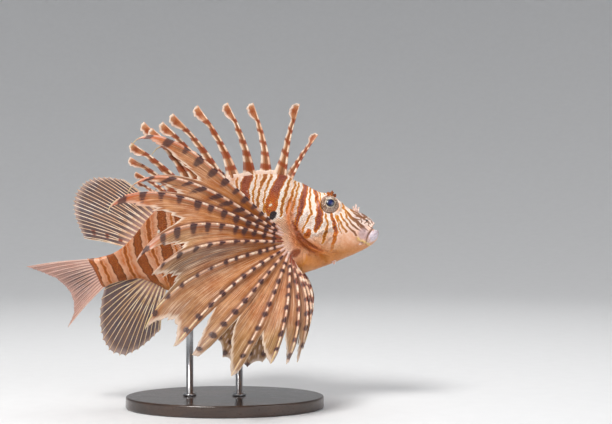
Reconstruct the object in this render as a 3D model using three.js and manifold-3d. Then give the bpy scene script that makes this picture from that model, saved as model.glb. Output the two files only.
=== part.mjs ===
// A red lionfish, Pterois volitans, life-size and still, swimming level above a display stand.
// Millimetres, +Z up. The fish looks along +X and its right side faces -Y.
// The origin is the centre of the stand's underside.
// The right-hand fins are the ones measured. The left-hand ones are their mirror images.

import * as THREE from "three";
import { mergeVertices } from "three/addons/utils/BufferGeometryUtils.js";
import Module from "manifold-3d";

const wasm = await Module();
wasm.setup();

// Driving sizes
const GAP = 0.3;
const DEG = Math.PI / 180;
const RIGHT = -1;
const LEFT = 1;

// Body: along X, each row is x, height of the back, height of the belly, half width
const BODY_PROFILE = [
  [-117, 126.6, 125.8, 0.8],
  [-110, 127.0, 114.0, 3.0],
  [-104, 128.3, 102.2, 4.2],
  [-96, 130.8, 105.0, 5.4],
  [-88, 135.4, 107.2, 6.4],
  [-80, 143.0, 108.2, 7.4],
  [-72, 152.8, 109.0, 8.6],
  [-59, 167.6, 104.4, 10.8],
  [-47, 176.2, 98.6, 13.2],
  [-32, 183.6, 95.6, 16.0],
  [-13, 189.8, 95.4, 19.0],
  [6, 194.6, 97.2, 21.0],
  [26, 198.0, 101.2, 22.4],
  [40, 198.4, 105.0, 23.0],
  [52, 197.0, 108.8, 23.0],
  [60, 192.6, 111.4, 22.4],
  [68, 189.6, 114.0, 21.4],
  [78, 184.0, 117.2, 19.6],
  [90, 180.8, 121.6, 17.0],
  [98, 175.4, 124.8, 15.2],
  [104, 170.2, 127.4, 13.8],
  [112, 167.0, 130.8, 12.2],
  [120, 163.2, 134.8, 10.6],
  [126, 158.2, 139.0, 8.8],
  [129.4, 152.6, 142.6, 5.8],
  [130.8, 148.0, 146.6, 1.4],
];
// Height of the widest line as a share of the depth, and how sharply the back and belly pinch in
const BODY_SHAPE = [
  [-117, 0.5, 1.0, 1.0],
  [-84, 0.48, 1.3, 1.1],
  [-60, 0.44, 1.9, 1.1],
  [-20, 0.48, 1.15, 0.9],
  [30, 0.46, 1.2, 0.85],
  [60, 0.44, 1.05, 0.8],
  [88, 0.4, 0.8, 0.8],
  [112, 0.42, 0.8, 0.85],
  [130.8, 0.45, 0.85, 0.85],
];
const BODY_LENGTHS = 30;
const BODY_SIDES = 16;

// Cuts that part the body, as outlines in the side view (x, z)
const HEAD_OUTLINE = [
  [61, 206], [59, 194], [55.5, 181], [52.4, 170], [51.2, 160], [53, 149], [57.5, 139],
  [64, 129.5], [69, 121], [70.5, 104], [140, 104], [140, 206],
];
const GILL_COVER_OUTLINE = [
  [58, 176], [66, 172], [71, 161], [73, 148], [75, 137], [68, 131.5], [63.4, 130.4],
  [40, 139], [40, 176],
];
const JAW_OUTLINE = [
  [140, 151.6], [126, 151], [119.5, 145.8], [113.2, 139.2], [106, 127], [106, 110], [140, 110],
];
const TAIL_STEM = { fromX: -84, toX: -140, lowZ: 80, highZ: 170, lean: 6 };
const GILL_COVER_FROM_Y = 17;

// Eye
const EYE = { x: 88.8, y: 9.6, z: 172.1, radius: 7.5, bulge: 5.4, tiltUp: 14, turnForward: 6 };

// Fin thicknesses
const WEB_THICK = 0.7;
const RAY_THICK = { root: 2.2, tip: 0.8 };

// Smooth curve through rows of [x, a, b, ...]: returns a function of x and the column
function through(rows) {
  return (x, column) => {
    const last = rows.length - 1;
    let i = 0;
    while (i < last - 1 && x > rows[i + 1][0]) i += 1;
    const slope = (k) => {
      const low = rows[Math.max(k - 1, 0)];
      const high = rows[Math.min(k + 1, last)];
      return (high[column] - low[column]) / (high[0] - low[0]);
    };
    const span = rows[i + 1][0] - rows[i][0];
    const t = THREE.MathUtils.clamp((x - rows[i][0]) / span, 0, 1);
    const t2 = t * t;
    const t3 = t2 * t;
    return (
      (2 * t3 - 3 * t2 + 1) * rows[i][column] +
      (t3 - 2 * t2 + t) * span * slope(i) +
      (3 * t2 - 2 * t3) * rows[i + 1][column] +
      (t3 - t2) * span * slope(i + 1)
    );
  };
}
const profile = through(BODY_PROFILE);
const shape = through(BODY_SHAPE);
const BODY_TAIL_X = BODY_PROFILE[0][0];
const BODY_NOSE_X = BODY_PROFILE[BODY_PROFILE.length - 1][0];

// Closed mesh from a list of points and triangles
function closedGeometry(points, triangles) {
  const geometry = new THREE.BufferGeometry();
  geometry.setAttribute("position", new THREE.Float32BufferAttribute(points.flat(), 3));
  geometry.setIndex(triangles.flat());
  return geometry;
}

// three.js geometry to a manifold-3d solid
function solid(geometry) {
  const bare = geometry.clone();
  bare.deleteAttribute("normal");
  bare.deleteAttribute("uv");
  const merged = mergeVertices(bare, 1e-4);
  return new wasm.Manifold(
    new wasm.Mesh({
      numProp: 3,
      vertProperties: new Float32Array(merged.attributes.position.array),
      triVerts: new Uint32Array(merged.index.array),
    }),
  );
}

// manifold-3d solid back to a three.js geometry
function geometryOf(made) {
  const mesh = made.getMesh();
  const geometry = new THREE.BufferGeometry();
  geometry.setAttribute("position", new THREE.BufferAttribute(mesh.vertProperties, 3));
  geometry.setIndex(new THREE.BufferAttribute(mesh.triVerts, 1));
  const facets = geometry.toNonIndexed();
  facets.computeVertexNormals();
  return facets;
}

// The whole body as one solid: rings of points at stations that crowd towards both ends
function bodySolid(grow) {
  const points = [];
  const triangles = [];
  for (let i = 0; i <= BODY_LENGTHS; i += 1) {
    const u = i / BODY_LENGTHS;
    const share = 0.62 * u + 0.38 * (0.5 - 0.5 * Math.cos(Math.PI * u));
    const x = BODY_TAIL_X + share * (BODY_NOSE_X - BODY_TAIL_X);
    const top = profile(x, 1);
    const bottom = profile(x, 2);
    const middle = bottom + shape(x, 1) * (top - bottom);
    for (let k = 0; k < BODY_SIDES; k += 1) {
      const angle = (k / BODY_SIDES) * 2 * Math.PI;
      const up = Math.sin(angle);
      const out = Math.cos(angle);
      const power = up > 0 ? shape(x, 2) : shape(x, 3);
      const y = (profile(x, 3) + grow) * Math.sign(out) * Math.pow(Math.abs(out), power);
      const reach = (up > 0 ? top - middle : middle - bottom) + grow;
      points.push([x, y, middle + reach * up]);
    }
  }
  const ends = points.length;
  points.push([BODY_TAIL_X - grow, 0, (profile(BODY_TAIL_X, 1) + profile(BODY_TAIL_X, 2)) / 2]);
  points.push([BODY_NOSE_X + grow, 0, (profile(BODY_NOSE_X, 1) + profile(BODY_NOSE_X, 2)) / 2]);
  for (let k = 0; k < BODY_SIDES; k += 1) {
    const next = (k + 1) % BODY_SIDES;
    const nose = BODY_LENGTHS * BODY_SIDES;
    triangles.push([ends, next, k], [ends + 1, nose + k, nose + next]);
    for (let i = 0; i < BODY_LENGTHS; i += 1) {
      const a = i * BODY_SIDES + k;
      const b = i * BODY_SIDES + next;
      triangles.push([a, b, b + BODY_SIDES], [a, b + BODY_SIDES, a + BODY_SIDES]);
    }
  }
  return solid(closedGeometry(points, triangles));
}

// A side-view outline carried across the body from y = from to y = to
function slab(outline, from, to) {
  const flat = new THREE.Shape(outline.map(([x, z]) => new THREE.Vector2(x, z)));
  const geometry = new THREE.ExtrudeGeometry(flat, { depth: to - from, bevelEnabled: false });
  geometry.rotateX(Math.PI / 2);
  geometry.translate(0, to, 0);
  return solid(geometry);
}

// The same outline moved out by a distance along its own edge normals
function widened(outline, by) {
  const turn = Math.sign(
    outline.reduce((sum, [x, z], i) => {
      const [nx, nz] = outline[(i + 1) % outline.length];
      return sum + (x * nz - nx * z);
    }, 0),
  );
  const normal = (a, b) => {
    const length = Math.hypot(b[0] - a[0], b[1] - a[1]);
    return [(turn * (b[1] - a[1])) / length, (-turn * (b[0] - a[0])) / length];
  };
  return outline.map((point, i) => {
    const before = normal(outline[(i + outline.length - 1) % outline.length], point);
    const after = normal(point, outline[(i + 1) % outline.length]);
    const scale = by / (1 + before[0] * after[0] + before[1] * after[1]);
    return [point[0] + scale * (before[0] + after[0]), point[1] + scale * (before[1] + after[1])];
  });
}

// A closed sheet over a grid. place(column, row) gives its middle, thick(column, row) its thickness.
function sheetSolid(columns, rows, place, thick) {
  const points = [];
  const triangles = [];
  const middle = (c, r) =>
    place(THREE.MathUtils.clamp(c, 0, columns), THREE.MathUtils.clamp(r, 0, rows));
  [1, -1].forEach((side) => {
    for (let c = 0; c <= columns; c += 1) {
      for (let r = 0; r <= rows; r += 1) {
        const across = middle(c + 1, r).sub(middle(c - 1, r));
        const along = middle(c, r + 1).sub(middle(c, r - 1));
        const normal = across.cross(along).normalize();
        const half = (side * thick(c, r)) / 2;
        points.push(middle(c, r).addScaledVector(normal, half).toArray());
      }
    }
  });
  const count = (columns + 1) * (rows + 1);
  const at = (c, r, back) => back * count + c * (rows + 1) + r;
  for (let c = 0; c < columns; c += 1) {
    for (let r = 0; r < rows; r += 1) {
      for (const back of [0, 1]) {
        const near = [at(c, r, back), at(c + 1, r, back), at(c + 1, r + 1, back)];
        const far = [at(c, r, back), at(c + 1, r + 1, back), at(c, r + 1, back)];
        triangles.push(back ? near.reverse() : near, back ? far.reverse() : far);
      }
    }
  }
  const rim = [];
  for (let c = 0; c < columns; c += 1) rim.push([c, 0]);
  for (let r = 0; r < rows; r += 1) rim.push([columns, r]);
  for (let c = columns; c > 0; c -= 1) rim.push([c, rows]);
  for (let r = rows; r > 0; r -= 1) rim.push([0, r]);
  rim.forEach(([c, r], i) => {
    const [nc, nr] = rim[(i + 1) % rim.length];
    triangles.push([at(c, r, 0), at(c, r, 1), at(nc, nr, 1)], [at(c, r, 0), at(nc, nr, 1), at(nc, nr, 0)]);
  });
  const made = solid(closedGeometry(points, triangles));
  return made.volume() > 0 ? made : solid(closedGeometry(points, triangles.map((t) => [...t].reverse())));
}

// A fin ray: from its root, at an angle in the side view, bowed upwards, its depth growing along it.
// reach is how far the tip lies out from the root, and early how soon it gets there.
function rayCurve(ray) {
  const along = [Math.cos(ray.angle * DEG), Math.sin(ray.angle * DEG)];
  const power = 1.3;
  const fall = (power * (1 - ray.peak)) / ray.peak;
  const most = Math.pow(ray.peak, power) * Math.pow(1 - ray.peak, fall);
  return (t) => {
    const bow = (ray.bow * Math.pow(t, power) * Math.pow(1 - t, fall)) / most;
    return new THREE.Vector3(
      ray.root[0] + ray.length * (along[0] * t + along[1] * bow),
      ray.root[1] + ray.side * ray.reach * (1 - Math.pow(1 - t, ray.early)),
      ray.root[2] + ray.length * (along[1] * t - along[0] * bow),
    );
  };
}

// How far along its rays a web between two of them reaches, at share v of the way across
function webReach(web, v) {
  const fringe = Math.pow(1 - v, web.before) + Math.pow(v, web.after);
  return web.full + (1 - web.full) * Math.min(fringe, 1);
}

// A fan of rays joined by webs, as one sheet that is thicker along its rays. Columns stand at each ray
// and at shares of the way to the next. shares starts with 0, the ray itself.
function finSolid(rays, webs, rows, shares) {
  const curves = rays.map(rayCurve);
  const columns = (rays.length - 1) * shares.length;
  const position = (column) => {
    const i = Math.min(Math.floor(column / shares.length), rays.length - 2);
    const k = column - i * shares.length;
    return [i, k === shares.length ? 1 : shares[k]];
  };
  const place = (column, row) => {
    const [i, v] = position(column);
    const t = (row / rows) * (v === 0 || v === 1 ? 1 : webReach(webs[i], v));
    return curves[i](t).lerp(curves[i + 1](t), v);
  };
  const thick = (column, row) => {
    const v = position(column)[1];
    return v === 0 || v === 1
      ? THREE.MathUtils.lerp(RAY_THICK.root, RAY_THICK.tip, row / rows)
      : WEB_THICK;
  };
  return sheetSolid(columns, rows, place, thick);
}

// The feathered kind of fan: each web is a sheet of its own, thick along the rays that it carries to
// their ends. On a side that its fringe leaves steeply it only laps into the next web's ray.
function featheredFinSolid(rays, webs, rows, shares) {
  const curves = rays.map(rayCurve);
  const steep = 2.5;
  const lap = 0.08;
  const pieces = webs.map((web, i) => {
    const first = web.before > steep ? { v: -lap, reach: 0.15 } : { v: 0, reach: 0 };
    const last = web.after > steep ? { v: 1 + lap, reach: 0.85 } : { v: 1, reach: 1 };
    const columns = [first, ...shares.map((v) => ({ v, reach: v })), last];
    const place = (column, row) => {
      const { v, reach } = columns[column];
      const t = (row / rows) * webReach(web, reach);
      return curves[i](t).lerp(curves[i + 1](t), v);
    };
    const thick = (column, row) =>
      columns[column].v === 0 || columns[column].v === 1
        ? THREE.MathUtils.lerp(RAY_THICK.root, RAY_THICK.tip, row / rows)
        : WEB_THICK;
    return sheetSolid(columns.length - 1, rows, place, thick);
  });
  return pieces.reduce((made, piece) => made.add(piece));
}

// Pectoral fin: angle, length, bow, where the bow peaks, reach outwards
const PECTORAL_RAYS = [
  [150.5, 139, 0.149, 0.75, 42],
  [164.8, 127, 0.167, 0.7, 52],
  [171.4, 139, 0.146, 0.7, 60],
  [187.9, 116, 0.19, 0.6, 66],
  [193.4, 106, 0.12, 0.6, 70],
  [210.5, 126, 0.125, 0.6, 73],
  [220.7, 115, 0.05, 0.5, 74],
  [227.3, 109, -0.02, 0.6, 72],
  [244.9, 105, -0.034, 0.5, 67],
  [260.0, 86, -0.06, 0.55, 59],
  [267.7, 84, -0.1, 0.55, 50],
  [273.1, 82, -0.13, 0.5, 41],
  [276.8, 71, -0.15, 0.5, 33],
  [277.5, 62, -0.19, 0.5, 26],
];
// Pectoral webs: share of the rays fully webbed, and how fast the fringe leaves each ray
const PECTORAL_WEBS = [
  [0.26, 0.8, 9],
  [0.34, 0.75, 9],
  [0.36, 0.7, 9],
  [0.42, 0.65, 8],
  [0.5, 0.6, 7],
  [0.7, 0.9, 3],
  [0.62, 2.2, 1.8],
  [0.58, 7, 0.8],
  [0.6, 6, 0.8],
  [0.66, 5, 0.9],
  [0.64, 4, 1.0],
  [0.68, 3, 1.2],
  [0.72, 3, 1.4],
];
const PECTORAL_ROOT = { top: [50.4, 18, 149.5], bottom: [58.6, 16, 124] };

function pectoralRays(side) {
  const { top, bottom } = PECTORAL_ROOT;
  return PECTORAL_RAYS.map(([angle, length, bow, peak, reach], i) => {
    const share = i / (PECTORAL_RAYS.length - 1);
    const root = top.map((value, k) => THREE.MathUtils.lerp(value, bottom[k], share));
    return {
      root: [root[0], side * root[1], root[2]],
      angle, length, bow, peak, side,
      reach: reach + 4,
      early: 1.5,
    };
  });
}

// Pelvic fin: angle and length of the spine and five rays, from the front one back
const PELVIC_RAYS = [
  [264, 62],
  [256, 72],
  [249, 79],
  [242, 82],
  [235, 80],
  [227, 70],
];
const PELVIC_ROOT = { front: [52, 6.5, 113], back: [44, 5.5, 110.5] };
const PELVIC_REACH = 30;
const PELVIC_WEB = [0.9, 1.6, 1.6];
const LEFT_PELVIC_SWEEP = 14;

function pelvicRays(side) {
  const { front, back } = PELVIC_ROOT;
  const sweep = side === LEFT ? LEFT_PELVIC_SWEEP : 0;
  return PELVIC_RAYS.map(([angle, length], i) => {
    const share = i / (PELVIC_RAYS.length - 1);
    const root = front.map((value, k) => THREE.MathUtils.lerp(value, back[k], share));
    return {
      root: [root[0], side * root[1], root[2]],
      angle: angle - sweep * (0.4 + 0.6 * share),
      length, bow: 0.05, peak: 0.5, side,
      reach: PELVIC_REACH * (1 - 0.45 * share),
      early: 1.2,
    };
  });
}

// Soft fins on the midline: where the base runs, then angle and length of each ray
const SOFT_DORSAL = {
  base: { front: [-54, 168], back: [-83, 136] },
  rays: [
    [142, 42], [143.5, 54], [145.5, 63], [148.6, 67.5], [152, 68],
    [155.4, 65], [159, 58], [163, 48.5], [169, 38],
  ],
  sway: 7,
};
const ANAL = {
  base: { front: [-50, 103], back: [-70, 112.5] },
  rays: [
    [262, 38], [256.5, 49], [251, 61], [245.6, 71], [238.4, 73.5],
    [232, 69], [224.5, 60], [214, 47.5], [196.5, 33],
  ],
  sway: 6,
};
const CAUDAL = {
  base: { front: [-112.5, 125.6], back: [-101.5, 103.6] },
  rays: [
    [186.2, 57.5], [190.4, 46], [195, 37.5], [203.5, 33.5], [212, 31.5],
    [220, 33], [226, 38.5], [227.8, 48.5],
  ],
  sway: 10,
};
const SOFT_WEB = [0.95, 1.2, 1.2];

function middleRays(fin) {
  const { front, back } = fin.base;
  return fin.rays.map(([angle, length], i) => {
    const share = i / (fin.rays.length - 1);
    return {
      root: [
        THREE.MathUtils.lerp(front[0], back[0], share),
        0,
        THREE.MathUtils.lerp(front[1], back[1], share),
      ],
      angle, length, bow: 0.02, peak: 0.5, side: LEFT,
      reach: fin.sway * Math.sin(Math.PI * (0.1 + 0.8 * share)),
      early: 0.6,
    };
  });
}

// Spiny dorsal fin: x of the root, lean forward of upright as an angle, length of each spine
const DORSAL_SPINES = [
  [55.5, 60, 43],
  [51, 79, 61],
  [39.5, 104, 62.5],
  [26.5, 110.5, 64.5],
  [13.5, 120, 71],
  [2.5, 128, 71],
  [-6, 131, 69],
  [-13.8, 133, 66],
  [-21, 129.5, 73],
  [-27.5, 140, 63],
  [-34.5, 144, 54],
  [-41, 145, 38],
  [-47.5, 143, 30],
];
const SPINE_ROOT_DEPTH = 4;
const SPINE_LEAN = 5;
const SPINE_BOW = 0.035;
// Width of the flap behind a spine along its length: at the root, the neck, and the pennant
const SPINE_FLAP = [
  [0, 12.5],
  [0.14, 9.2],
  [0.34, 5.0],
  [0.6, 3.4],
  [0.78, 3.0],
  [0.86, 6.0],
  [0.94, 5.6],
  [1, 1.2],
];
const SPINE_WIDE = { root: 2.4, tip: 0.9 };
const SPINE_STATIONS = [0, 0.16, 0.42, 0.8, 0.89, 1];
const BASE_WEB = { above: 2.6, below: 5, thick: 2.6, front: 56, back: -50 };
const flap = through(SPINE_FLAP);

function spineCurve(row, index) {
  const [x, angle, length] = row;
  const side = index % 2 ? RIGHT : LEFT;
  const root = [x, 0, profile(x, 1) - SPINE_ROOT_DEPTH];
  return rayCurve({
    root, angle, side,
    length: length + SPINE_ROOT_DEPTH,
    bow: angle > 90 ? SPINE_BOW : -SPINE_BOW,
    peak: 0.5,
    reach: (length + SPINE_ROOT_DEPTH) * Math.sin(SPINE_LEAN * DEG),
    early: 1,
  });
}

function spineSolid(row, index) {
  const curve = spineCurve(row, index);
  const last = SPINE_STATIONS.length - 1;
  const back = new THREE.Vector3(-Math.sin(row[1] * DEG), 0, Math.cos(row[1] * DEG));
  const size = Math.min(row[2] / 66, 1);
  const place = (column, r) => {
    const t = SPINE_STATIONS[r];
    const wide = THREE.MathUtils.lerp(SPINE_WIDE.root, SPINE_WIDE.tip, t);
    const offset = [-wide / 2, wide / 2, wide / 2 + flap(t, 1) * size][column];
    return curve(t).addScaledVector(back, offset);
  };
  const thick = (column, r) => {
    const wide = THREE.MathUtils.lerp(SPINE_WIDE.root, SPINE_WIDE.tip, SPINE_STATIONS[r]);
    return [wide * 0.5, wide * 0.9, 0.6][column];
  };
  return sheetSolid(2, last, place, thick);
}

// The low web along the back that joins the spines
function spineBaseSolid() {
  const steps = 10;
  const upper = [];
  const lower = [];
  for (let i = 0; i <= steps; i += 1) {
    const x = THREE.MathUtils.lerp(BASE_WEB.front, BASE_WEB.back, i / steps);
    upper.push([x, profile(x, 1) + BASE_WEB.above * Math.min(1, i, (steps - i) / 2)]);
    lower.unshift([x, profile(x, 1) - BASE_WEB.below]);
  }
  return slab([...upper, ...lower], -BASE_WEB.thick / 2, BASE_WEB.thick / 2);
}

// A small fleshy tentacle or flap: a leaf that stands from a point on the body
function leafSolid(root, direction, length, width, thick) {
  const outline = [0.55, 1, 0.3];
  const rows = outline.length - 1;
  const along = new THREE.Vector3(...direction).normalize();
  const across = new THREE.Vector3(0, 1, 0).cross(along).normalize();
  const place = (column, row) => {
    const share = outline[row] * (column / 2 - 0.5);
    return new THREE.Vector3(...root)
      .addScaledVector(along, (length * row) / rows)
      .addScaledVector(across, width * share);
  };
  return sheetSolid(2, rows, place, (column) => (column === 1 ? thick : thick * 0.55));
}

// Small flesh pieces of the right side: root, direction, length, width, thickness
const FACE_LEAVES = {
  brow_tentacle: [[90.4, 8.6, 179.6], [0.1, 0.16, 1], 5.0, 3.8, 1.2],
  nostril_tentacle: [[111.2, 4.6, 165.2], [0.05, 0.1, 1], 7.6, 2.6, 1.0],
  cheek_flap: [[92.4, 6.5, 125.6], [0.1, 0.25, -1], 6.4, 3.2, 1.0],
  mouth_flap: [[114.6, 9.6, 141.4], [-0.2, 0.3, -1], 6.0, 5.6, 1.0],
};

// Stand
const STAND = {
  length: 168, width: 112, thick: 10, bevel: 1.5,
  rodRadius: 3, rodX: { front: 12, rear: -30 }, rodSides: 16, socket: 3, intoBelly: 6,
};

function standBaseSolid() {
  const oval = new THREE.Shape();
  const inset = STAND.bevel;
  oval.absellipse(0, 0, STAND.length / 2 - inset, STAND.width / 2 - inset, 0, 2 * Math.PI);
  const plate = new THREE.ExtrudeGeometry(oval, {
    depth: STAND.thick - 2 * inset,
    bevelEnabled: true,
    bevelThickness: inset,
    bevelSize: inset,
    bevelSegments: 1,
    curveSegments: 14,
  });
  plate.translate(0, 0, inset);
  return Object.values(STAND.rodX).reduce(
    (made, x) => {
      const room = rodSolid(x, STAND.rodRadius + GAP, STAND.thick - STAND.socket, 2 * STAND.thick);
      return made.subtract(room);
    },
    solid(plate),
  );
}

function rodSolid(x, radius, from, to) {
  const rod = new THREE.CylinderGeometry(radius, radius, to - from, STAND.rodSides);
  rod.rotateX(Math.PI / 2);
  rod.translate(x, 0, (from + to) / 2);
  return solid(rod);
}

// Colours, roughness and metalness
const material = (color, roughness, metalness = 0) =>
  new THREE.MeshStandardMaterial({ color, roughness, metalness, flatShading: true });
const SKIN = material("#b8643a", 0.55);
const SKIN_PALE = material("#e0a77c", 0.55);
const FIN = material("#cf9a72", 0.5);
const CLEAR_FIN = material("#a58f86", 0.45);
const EYE_DARK = material("#15182a", 0.12);
const STAND_WOOD = material("#3a3734", 0.35);
const STAND_STEEL = material("#b9bcc0", 0.3, 1);

const fish = new THREE.Group();
function add(name, made, look) {
  const mesh = new THREE.Mesh(geometryOf(made), look);
  mesh.name = name;
  fish.add(mesh);
  return made;
}
const mirrored = (made) => made.mirror([0, 1, 0]);
const largest = (made) =>
  made.decompose().reduce((best, piece) => (piece.volume() > best.volume() ? piece : best));

// Flesh: one body, parted by thin cuts
const whole = bodySolid(0);
const around = bodySolid(GAP);
const WIDE = 60;
const front = slab(HEAD_OUTLINE, -WIDE, WIDE);
const frontRoom = slab(widened(HEAD_OUTLINE, GAP), -WIDE, WIDE);
const jaw = slab(JAW_OUTLINE, -WIDE, WIDE);
const jawRoom = slab(widened(JAW_OUTLINE, GAP), -WIDE, WIDE);
const tailOutline = (x) => [
  [TAIL_STEM.toX, TAIL_STEM.lowZ],
  [x, TAIL_STEM.lowZ],
  [x - TAIL_STEM.lean, TAIL_STEM.highZ],
  [TAIL_STEM.toX, TAIL_STEM.highZ],
];
const tail = slab(tailOutline(TAIL_STEM.fromX), -WIDE, WIDE);
const tailRoom = slab(tailOutline(TAIL_STEM.fromX + GAP), -WIDE, WIDE);

function eyeSolid(side, grow) {
  const ball = new THREE.SphereGeometry(1, 14, 9);
  ball.scale(EYE.radius + grow, EYE.bulge + grow, EYE.radius + grow);
  ball.rotateX(side * EYE.tiltUp * DEG);
  ball.rotateZ(-side * EYE.turnForward * DEG);
  ball.translate(EYE.x, side * EYE.y, EYE.z);
  return solid(ball);
}

// The gill covers are plates set into the head's sides
function gillCoverRoom(side, grow) {
  const inner = GILL_COVER_FROM_Y - grow;
  const outline = grow ? widened(GILL_COVER_OUTLINE, grow) : GILL_COVER_OUTLINE;
  return side === RIGHT ? slab(outline, -WIDE, -inner) : slab(outline, inner, WIDE);
}

let head = whole.intersect(front).subtract(jawRoom);
const covers = { right: RIGHT, left: LEFT };
for (const [word, side] of Object.entries(covers)) {
  add(`gill_cover_${word}`, largest(head.intersect(gillCoverRoom(side, 0))), SKIN_PALE);
}
for (const side of Object.values(covers)) {
  head = head.subtract(gillCoverRoom(side, GAP)).subtract(eyeSolid(side, GAP));
}
for (const [word, side] of Object.entries(covers)) {
  add(`eye_${word}`, eyeSolid(side, 0), EYE_DARK);
}
add("head", largest(head), SKIN);
add("lower_jaw", largest(whole.intersect(jaw)), SKIN_PALE);
let trunk = whole.subtract(frontRoom).subtract(tailRoom);

// The rods end in blind sockets in the belly
const rodTop = (x) => profile(x, 2) + STAND.intoBelly;
for (const x of Object.values(STAND.rodX)) {
  trunk = trunk.subtract(rodSolid(x, STAND.rodRadius + GAP, STAND.thick, rodTop(x) + GAP));
}
add("trunk", largest(trunk), SKIN);
add("tail_stem", largest(whole.intersect(tail)), SKIN);

for (const [name, row] of Object.entries(FACE_LEAVES)) {
  const leaf = largest(leafSolid(...row).subtract(around).subtract(eyeSolid(LEFT, GAP)));
  add(`${name}_left`, leaf, SKIN_PALE);
  add(`${name}_right`, mirrored(leaf), SKIN_PALE);
}

// Fins
const webRows = (rows) => rows.map(([full, before, after]) => ({ full, before, after }));
const repeat = (row, count) => webRows(Array(count).fill(row));
for (const [word, side] of Object.entries(covers)) {
  const pectoral = featheredFinSolid(pectoralRays(side), webRows(PECTORAL_WEBS), 4, [0.45]);
  add(`pectoral_fin_${word}`, largest(pectoral.subtract(around)), FIN);
  const pelvic = finSolid(pelvicRays(side), repeat(PELVIC_WEB, PELVIC_RAYS.length - 1), 4, [0, 0.5]);
  add(`pelvic_fin_${word}`, largest(pelvic.subtract(around)), FIN);
}
const middleFins = { dorsal_fin_soft: SOFT_DORSAL, anal_fin: ANAL, caudal_fin: CAUDAL };
for (const [name, fin] of Object.entries(middleFins)) {
  const made = finSolid(middleRays(fin), repeat(SOFT_WEB, fin.rays.length - 1), 3, [0, 0.5]);
  add(name, largest(made.subtract(around)), CLEAR_FIN);
}
const spines = DORSAL_SPINES.map(spineSolid).reduce((a, b) => a.add(b), spineBaseSolid());
add("dorsal_fin_spiny", largest(spines.subtract(around)), FIN);

// Stand
add("stand_base", standBaseSolid(), STAND_WOOD);
for (const [word, x] of Object.entries(STAND.rodX)) {
  const rod = rodSolid(x, STAND.rodRadius, STAND.thick - STAND.socket + GAP, rodTop(x));
  add(`stand_rod_${word}`, rod, STAND_STEEL);
}

export default fish;
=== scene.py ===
"""Red lionfish: skin with its markings, scales, eyes, fins and a plain display stand.

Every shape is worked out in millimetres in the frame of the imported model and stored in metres.
The fish looks along +X, its right side faces -Y, and the stand's underside is at z = 0.
"""

import math

import bpy
import numpy as np
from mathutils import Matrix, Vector


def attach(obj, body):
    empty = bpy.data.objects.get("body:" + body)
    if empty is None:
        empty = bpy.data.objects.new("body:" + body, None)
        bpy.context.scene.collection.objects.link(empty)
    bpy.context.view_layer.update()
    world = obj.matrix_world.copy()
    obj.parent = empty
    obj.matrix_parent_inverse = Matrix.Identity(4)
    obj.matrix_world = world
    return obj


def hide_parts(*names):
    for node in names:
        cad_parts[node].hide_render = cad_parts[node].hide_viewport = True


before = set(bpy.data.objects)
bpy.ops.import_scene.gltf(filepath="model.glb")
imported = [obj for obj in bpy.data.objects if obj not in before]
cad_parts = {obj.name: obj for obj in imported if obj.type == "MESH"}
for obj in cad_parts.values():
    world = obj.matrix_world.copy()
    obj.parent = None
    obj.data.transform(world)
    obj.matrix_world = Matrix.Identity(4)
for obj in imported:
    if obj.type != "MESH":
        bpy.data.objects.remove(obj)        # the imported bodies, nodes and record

bl_info = {
    "name": "Red lionfish model",
    "version": (1, 0, 0),
    "blender": (4, 5, 0),
    "location": "3D View > Sidebar > Lionfish",
    "description": "Builds a life-size red lionfish with markings, scales, fins, eyes and stand",
    "category": "Add Mesh",
}

RIGHT = -1
LEFT = 1
SIDES = {"right": RIGHT, "left": LEFT}
MM = 0.001
TURN = 2 * math.pi
UV_LENGTH = 260          # length of body, in mm, that fills the skin's UV map
UV_TURN = 6.3            # angle that fills it across
NO_BAND = -9.0           # distance field where there is no band or spot


def shade(red, green, blue):
    """Linear colour of a screen colour: ((c + 0.055) / 1.055) to the power 2.4."""
    screen = np.array([red, green, blue]) / 255.0
    linear = np.where(screen > 0.04045, ((screen + 0.055) / 1.055) ** 2.4, screen / 12.92)
    return tuple(float(value) for value in linear)


# Smooth numbers along a line

def through(rows):
    """Cubic curve through rows of x, a, b, ...: each stretch leaves and meets its rows at the slope
    from the row before to the row after. Returns a function of x and the column."""
    rows = np.array(rows, dtype=float)
    low = np.maximum(np.arange(len(rows)) - 1, 0)
    high = np.minimum(np.arange(len(rows)) + 1, len(rows) - 1)
    slopes = (rows[high] - rows[low]) / (rows[high, :1] - rows[low, :1])

    def curve(x, column):
        x = np.asarray(x, dtype=float)
        i = np.clip(np.searchsorted(rows[:, 0], x, side="left") - 1, 0, len(rows) - 2)
        span = rows[i + 1, 0] - rows[i, 0]
        t = np.clip((x - rows[i, 0]) / span, 0, 1)
        return (
            (2 * t ** 3 - 3 * t ** 2 + 1) * rows[i, column]
            + (t ** 3 - 2 * t ** 2 + t) * span * slopes[i, column]
            + (3 * t ** 2 - 2 * t ** 3) * rows[i + 1, column]
            + (t ** 3 - t ** 2) * span * slopes[i + 1, column]
        )

    return curve


def smooth(value, low, high):
    """0 below low, 1 above high, and 3 t^2 - 2 t^3 between."""
    t = np.clip((value - low) / (high - low), 0, 1)
    return t * t * (3 - 2 * t)


def unit(vectors):
    """Vectors divided by their length."""
    return vectors / np.maximum(np.linalg.norm(vectors, axis=-1, keepdims=True), 1e-9)


def run_length(path):
    """Length along a path of points from its start to each of them."""
    return np.concatenate([[0], np.cumsum(np.linalg.norm(np.diff(path, axis=0), axis=1))])


def bell(value, middle, width):
    """exp(-((value - middle) / width)^2)."""
    return np.exp(-((value - middle) / width) ** 2)


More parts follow.
